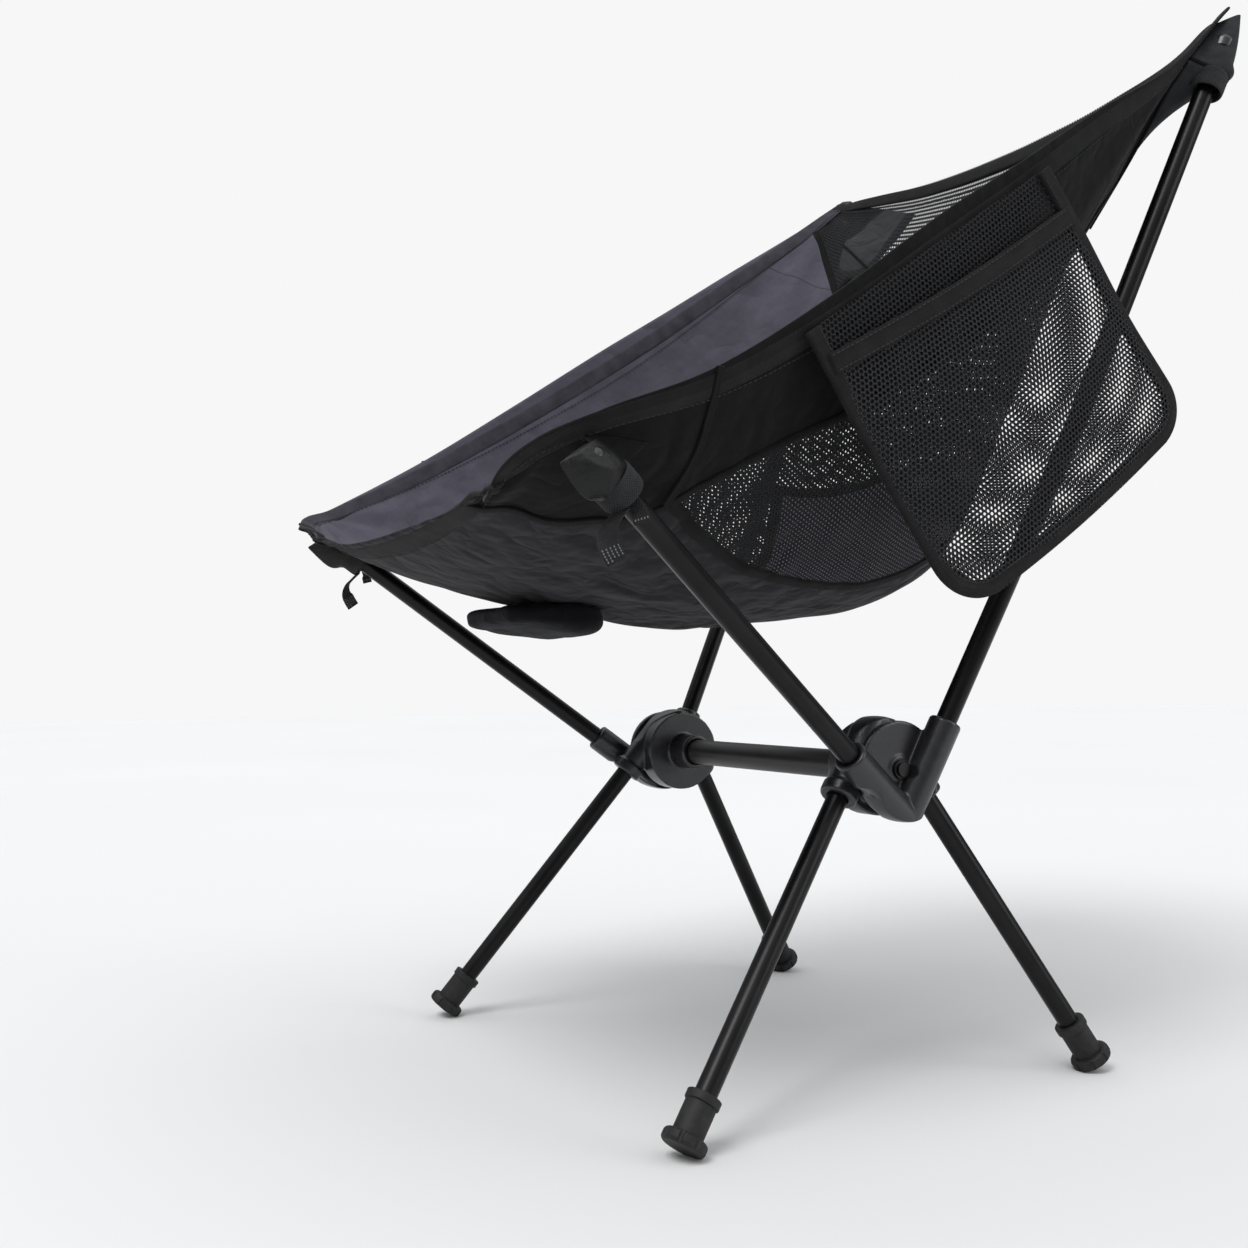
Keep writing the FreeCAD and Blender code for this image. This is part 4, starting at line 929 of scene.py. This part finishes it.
def side_pocket():
    flap_layer("pocket_back_layer", (0.0, 0.0), 0.6 * MM, -1.2 * MM, POCKET_BACK, "pocket_back_mesh")
    hem_start, hem_end = 20.5 * MM, 30.5 * MM
    flap_layer("pocket_front_layer", (hem_start, hem_end), 3.4 * MM, 6.0 * MM, POCKET_FRONT,
               "pocket_front_mesh")
    outline = flap_outline(TAPE_WIDTH / 2)
    path = flap_point(outline[:, 0], outline[:, 1], 2.2 * MM + 0 * outline[:, 0])
    normals = np.tile([1.0, 0, 0], (len(path), 1))
    binding = ribbon("pocket_edge_tape", path, normals, TAPE_WIDTH, 3.4 * MM, TAPE, "side_pocket")
    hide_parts("pocket_binding")
    inner = flap_outline(TAPE_WIDTH - 1.6 * MM)
    path = flap_point(inner[:, 0], inner[:, 1], 2.2 * MM + 0 * inner[:, 0])
    stitches("pocket_edge_thread", path, normals, "side_pocket", 1.7 * MM)
    t = np.linspace(0, 1, 90)
    down = hem_start + (hem_end - hem_start) * t
    front, rear = flap_sides(down)
    along = front + 4 * MM + (rear - front - 8 * MM) * t
    down = down + 3 * MM * np.sin(np.pi * t)
    path = flap_point(along, down, 4.2 * MM + 1.6 * MM * np.sin(np.pi * t))
    normals = np.tile([1.0, 0, 0], (len(path), 1))
    hem = ribbon("pocket_opening_hem", path, normals, 11.5 * MM, 1.6 * MM, TAPE, "side_pocket")
    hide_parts("pocket_hem")
    for shift in (-4.2 * MM, 4.2 * MM):
        row = flap_point(along, down + shift, 4.2 * MM + 1.6 * MM * np.sin(np.pi * t))
        stitches("pocket_hem_thread_%s" % ("low" if shift > 0 else "high"), row, normals, "side_pocket",
                 0.85 * MM)


# ---------------------------------------------------------------- pouch under the seat
def under_seat_pouch():
    """Soft little bag sewn under the front of the seat: flat and slack at one end, full at the other."""
    low, high = (np.array(corner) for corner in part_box("under_seat_pouch"))
    centre = (low + high) / 2
    half = (high - low) / 2
    tilt = np.linspace(-np.pi / 2, np.pi / 2, 61)[:, None]
    turn = np.linspace(0, 2 * np.pi, 121)[None, :]
    power = 0.42
    ring = np.cos(tilt) ** power
    x = ring * np.sign(np.cos(turn)) * np.abs(np.cos(turn)) ** power
    y = ring * np.sign(np.sin(turn)) * np.abs(np.sin(turn)) ** power
    z = np.broadcast_to(np.sign(np.sin(tilt)) * np.abs(np.sin(tilt)) ** 0.6, x.shape)
    full = 0.62 + 0.38 * np.clip(0.5 + 0.9 * y, 0, 1) ** 0.7
    points = np.stack([x * half[0], y * half[1], 0.25 * half[2] + (z - 0.25) * half[2] * full], axis=2)
    points = points + centre
    folds = 1 - np.abs(ripples(points, 43, 0.022))
    soft = ripples(points, 41, 0.035) * 1.2 * MM + folds * 0.8 * MM
    points = points + unit(points - centre) * soft[..., None]
    across, position = np.meshgrid(np.linspace(-0.5, 0.5, 101), np.linspace(0.02, 0.40, 101))
    above = sling(across, position)[0].reshape(-1, 3)
    for row in points:
        nearest = np.argmin(np.linalg.norm(row[:, None, :2] - above[None, :, :2], axis=2), axis=1)
        row[:, 2] = np.minimum(row[:, 2], above[nearest, 2] - 2.0 * MM)
    made = grid_object("pouch_bag", points, NAVY, "seat")
    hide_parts("under_seat_pouch")


# ---------------------------------------------------------------- hard pieces
HUB_HEIGHT = 187.0
ELBOW_RIM = 29.6 * MM       # the yokes' elbows are blunt: nothing there stands further from the hub axis


def soft_skin(node, voxel):
    """A copy of a moulding with filled inner corners, soft edges and a blunt elbow, as moulded nylon has."""
    source = frame["nodes"][node]
    made = bpy.data.objects.new(node + "_moulded", source.data.copy())
    bpy.context.collection.objects.link(made)
    remesh = made.modifiers.new("remesh", "REMESH")
    remesh.mode = "VOXEL"
    remesh.voxel_size = voxel
    remesh.use_smooth_shade = True
    smooth = made.modifiers.new("soften", "SMOOTH")
    smooth.factor = 0.5
    smooth.iterations = 5
    bpy.context.view_layer.objects.active = made
    for name in ("remesh", "soften"):
        with bpy.context.temp_override(object=made, active_object=made, selected_objects=[made]):
            bpy.ops.object.modifier_apply(modifier=name)
    made.data.materials.clear()
    made.data.materials.append(NYLON)
    below = node.startswith("seat")
    for vertex in made.data.vertices:
        y, z = vertex.co.y - AXIS_Y * MM, vertex.co.z - HUB_HEIGHT * MM
        radius = math.hypot(y, z)
        depth = np.clip(((-z if below else z) / MM - 8) / 8, 0, 1)
        if radius > ELBOW_RIM and depth > 0:
            target = ELBOW_RIM + (radius - ELBOW_RIM) * 0.12
            scale = 1 + (target / radius - 1) * depth
            vertex.co.y = y * scale + AXIS_Y * MM
            vertex.co.z = z * scale + HUB_HEIGHT * MM
    return made


def paint(node, material):
    """Give a CAD node's mesh a node material of its own."""
    target = frame["nodes"][node]
    if not target.data.materials:
        target.data.materials.append(material)
    for slot in target.material_slots:
        slot.link = "OBJECT"
        slot.material = material


def hard_pieces():
    bodies = {node: body for body, nodes in frame["record"]["behaviour"]["bodies"].items() for node in nodes}
    for node in frame["nodes"]:
        if "yoke" in node:
            made = soft_skin(node, 0.75 * MM)
            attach(made, bodies[node])
            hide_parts(node)
        elif node == "crossbar":
            paint(node, BAR)
        elif node.startswith("foot_"):
            paint(node, RUBBER)
        elif "cord" in node:
            paint(node, CORD)
        elif "ferrule" in node:
            paint(node, BARE)
        elif node.startswith("pole_tip"):
            paint(node, TIP)
        elif node in ("pivot_pins", "pin_washers"):
            paint(node, PIN)
        elif "leg_tube" in node or "pole" in node:
            paint(node, POLE)


# ---------------------------------------------------------------- studio
def studio():
    turn = np.linspace(0, 2 * np.pi, 97)
    rings = np.stack([np.stack([r * np.cos(turn), r * np.sin(turn), 0 * turn], axis=1)
                      for r in (0.0, 0.5, 1.0, 2.0, 4.0, 8.0)])
    floor = grid_object("studio_floor", rings, pale_floor(), None)
    world = bpy.data.worlds.new("studio")
    world.use_nodes = True
    tree = world.node_tree
    lit = tree.nodes["Background"]
    place = tree.nodes.new("ShaderNodeTexCoord")
    parts = tree.nodes.new("ShaderNodeSeparateXYZ")
    tree.links.new(place.outputs["Generated"], parts.inputs[0])
    height = tree.nodes.new("ShaderNodeMapRange")
    height.interpolation_type = "SMOOTHSTEP"
    height.inputs["From Min"].default_value = 0.15
    height.inputs["From Max"].default_value = 0.95
    height.inputs["To Min"].default_value = 0.16
    height.inputs["To Max"].default_value = 1.25
    tree.links.new(parts.outputs["Z"], height.inputs["Value"])
    tree.links.new(height.outputs[0], lit.inputs["Strength"])
    lit.inputs["Color"].default_value = (0.97, 0.985, 1.0, 1.0)
    seen = tree.nodes.new("ShaderNodeBackground")
    seen.inputs["Color"].default_value = (1.0, 1.0, 1.0, 1.0)
    seen.inputs["Strength"].default_value = 0.93
    ray = tree.nodes.new("ShaderNodeLightPath")
    mixed = tree.nodes.new("ShaderNodeMixShader")
    tree.links.new(ray.outputs["Is Camera Ray"], mixed.inputs[0])
    tree.links.new(lit.outputs[0], mixed.inputs[1])
    tree.links.new(seen.outputs[0], mixed.inputs[2])
    tree.links.new(mixed.outputs[0], tree.nodes["World Output"].inputs["Surface"])
    bpy.context.scene.world = world
    for name, energy, place in (("key", 1.5, (0.5, -1.1, 2.3)), ("side", 0.55, (1.4, 1.3, 0.9))):
        lamp = bpy.data.lights.new("soft_" + name, "SUN")
        lamp.energy = energy
        lamp.angle = math.radians(28)
        made = bpy.data.objects.new("lamp_" + name, lamp)
        made.location = place
        made.rotation_euler = (Vector((0, 0, 0.3)) - made.location).to_track_quat("-Z", "Y").to_euler()
        bpy.context.collection.objects.link(made)


CAMERA_PLACE = (0.7636, -0.5140, 0.2463)
CAMERA_AZIMUTH = 61.76
CAMERA_ELEVATION = -2.05
CAMERA_ROLL = -0.88
CAMERA_LENS = 38.93


def camera():
    data = bpy.data.cameras.new("photo_camera")
    data.sensor_width = 36.0
    data.lens = CAMERA_LENS
    made = bpy.data.objects.new("photo_camera", data)
    azimuth, elevation = math.radians(CAMERA_AZIMUTH), math.radians(CAMERA_ELEVATION)
    back = Vector((math.sin(azimuth) * math.cos(elevation), -math.cos(azimuth) * math.cos(elevation),
                   math.sin(elevation)))
    right = Vector((0, 0, 1)).cross(back).normalized()
    up = back.cross(right)
    roll = math.radians(CAMERA_ROLL)
    turned_right = right * math.cos(roll) + up * math.sin(roll)
    turned_up = up * math.cos(roll) - right * math.sin(roll)
    made.matrix_world = Matrix.Translation(CAMERA_PLACE) @ Matrix(
        (turned_right, turned_up, back)).transposed().to_4x4()
    bpy.context.collection.objects.link(made)
    bpy.context.scene.camera = made
    bpy.context.scene.view_settings.view_transform = "Standard"


sling_panels()
sling_tapes()
corners()
side_pocket()
under_seat_pouch()
hard_pieces()
studio()
camera()
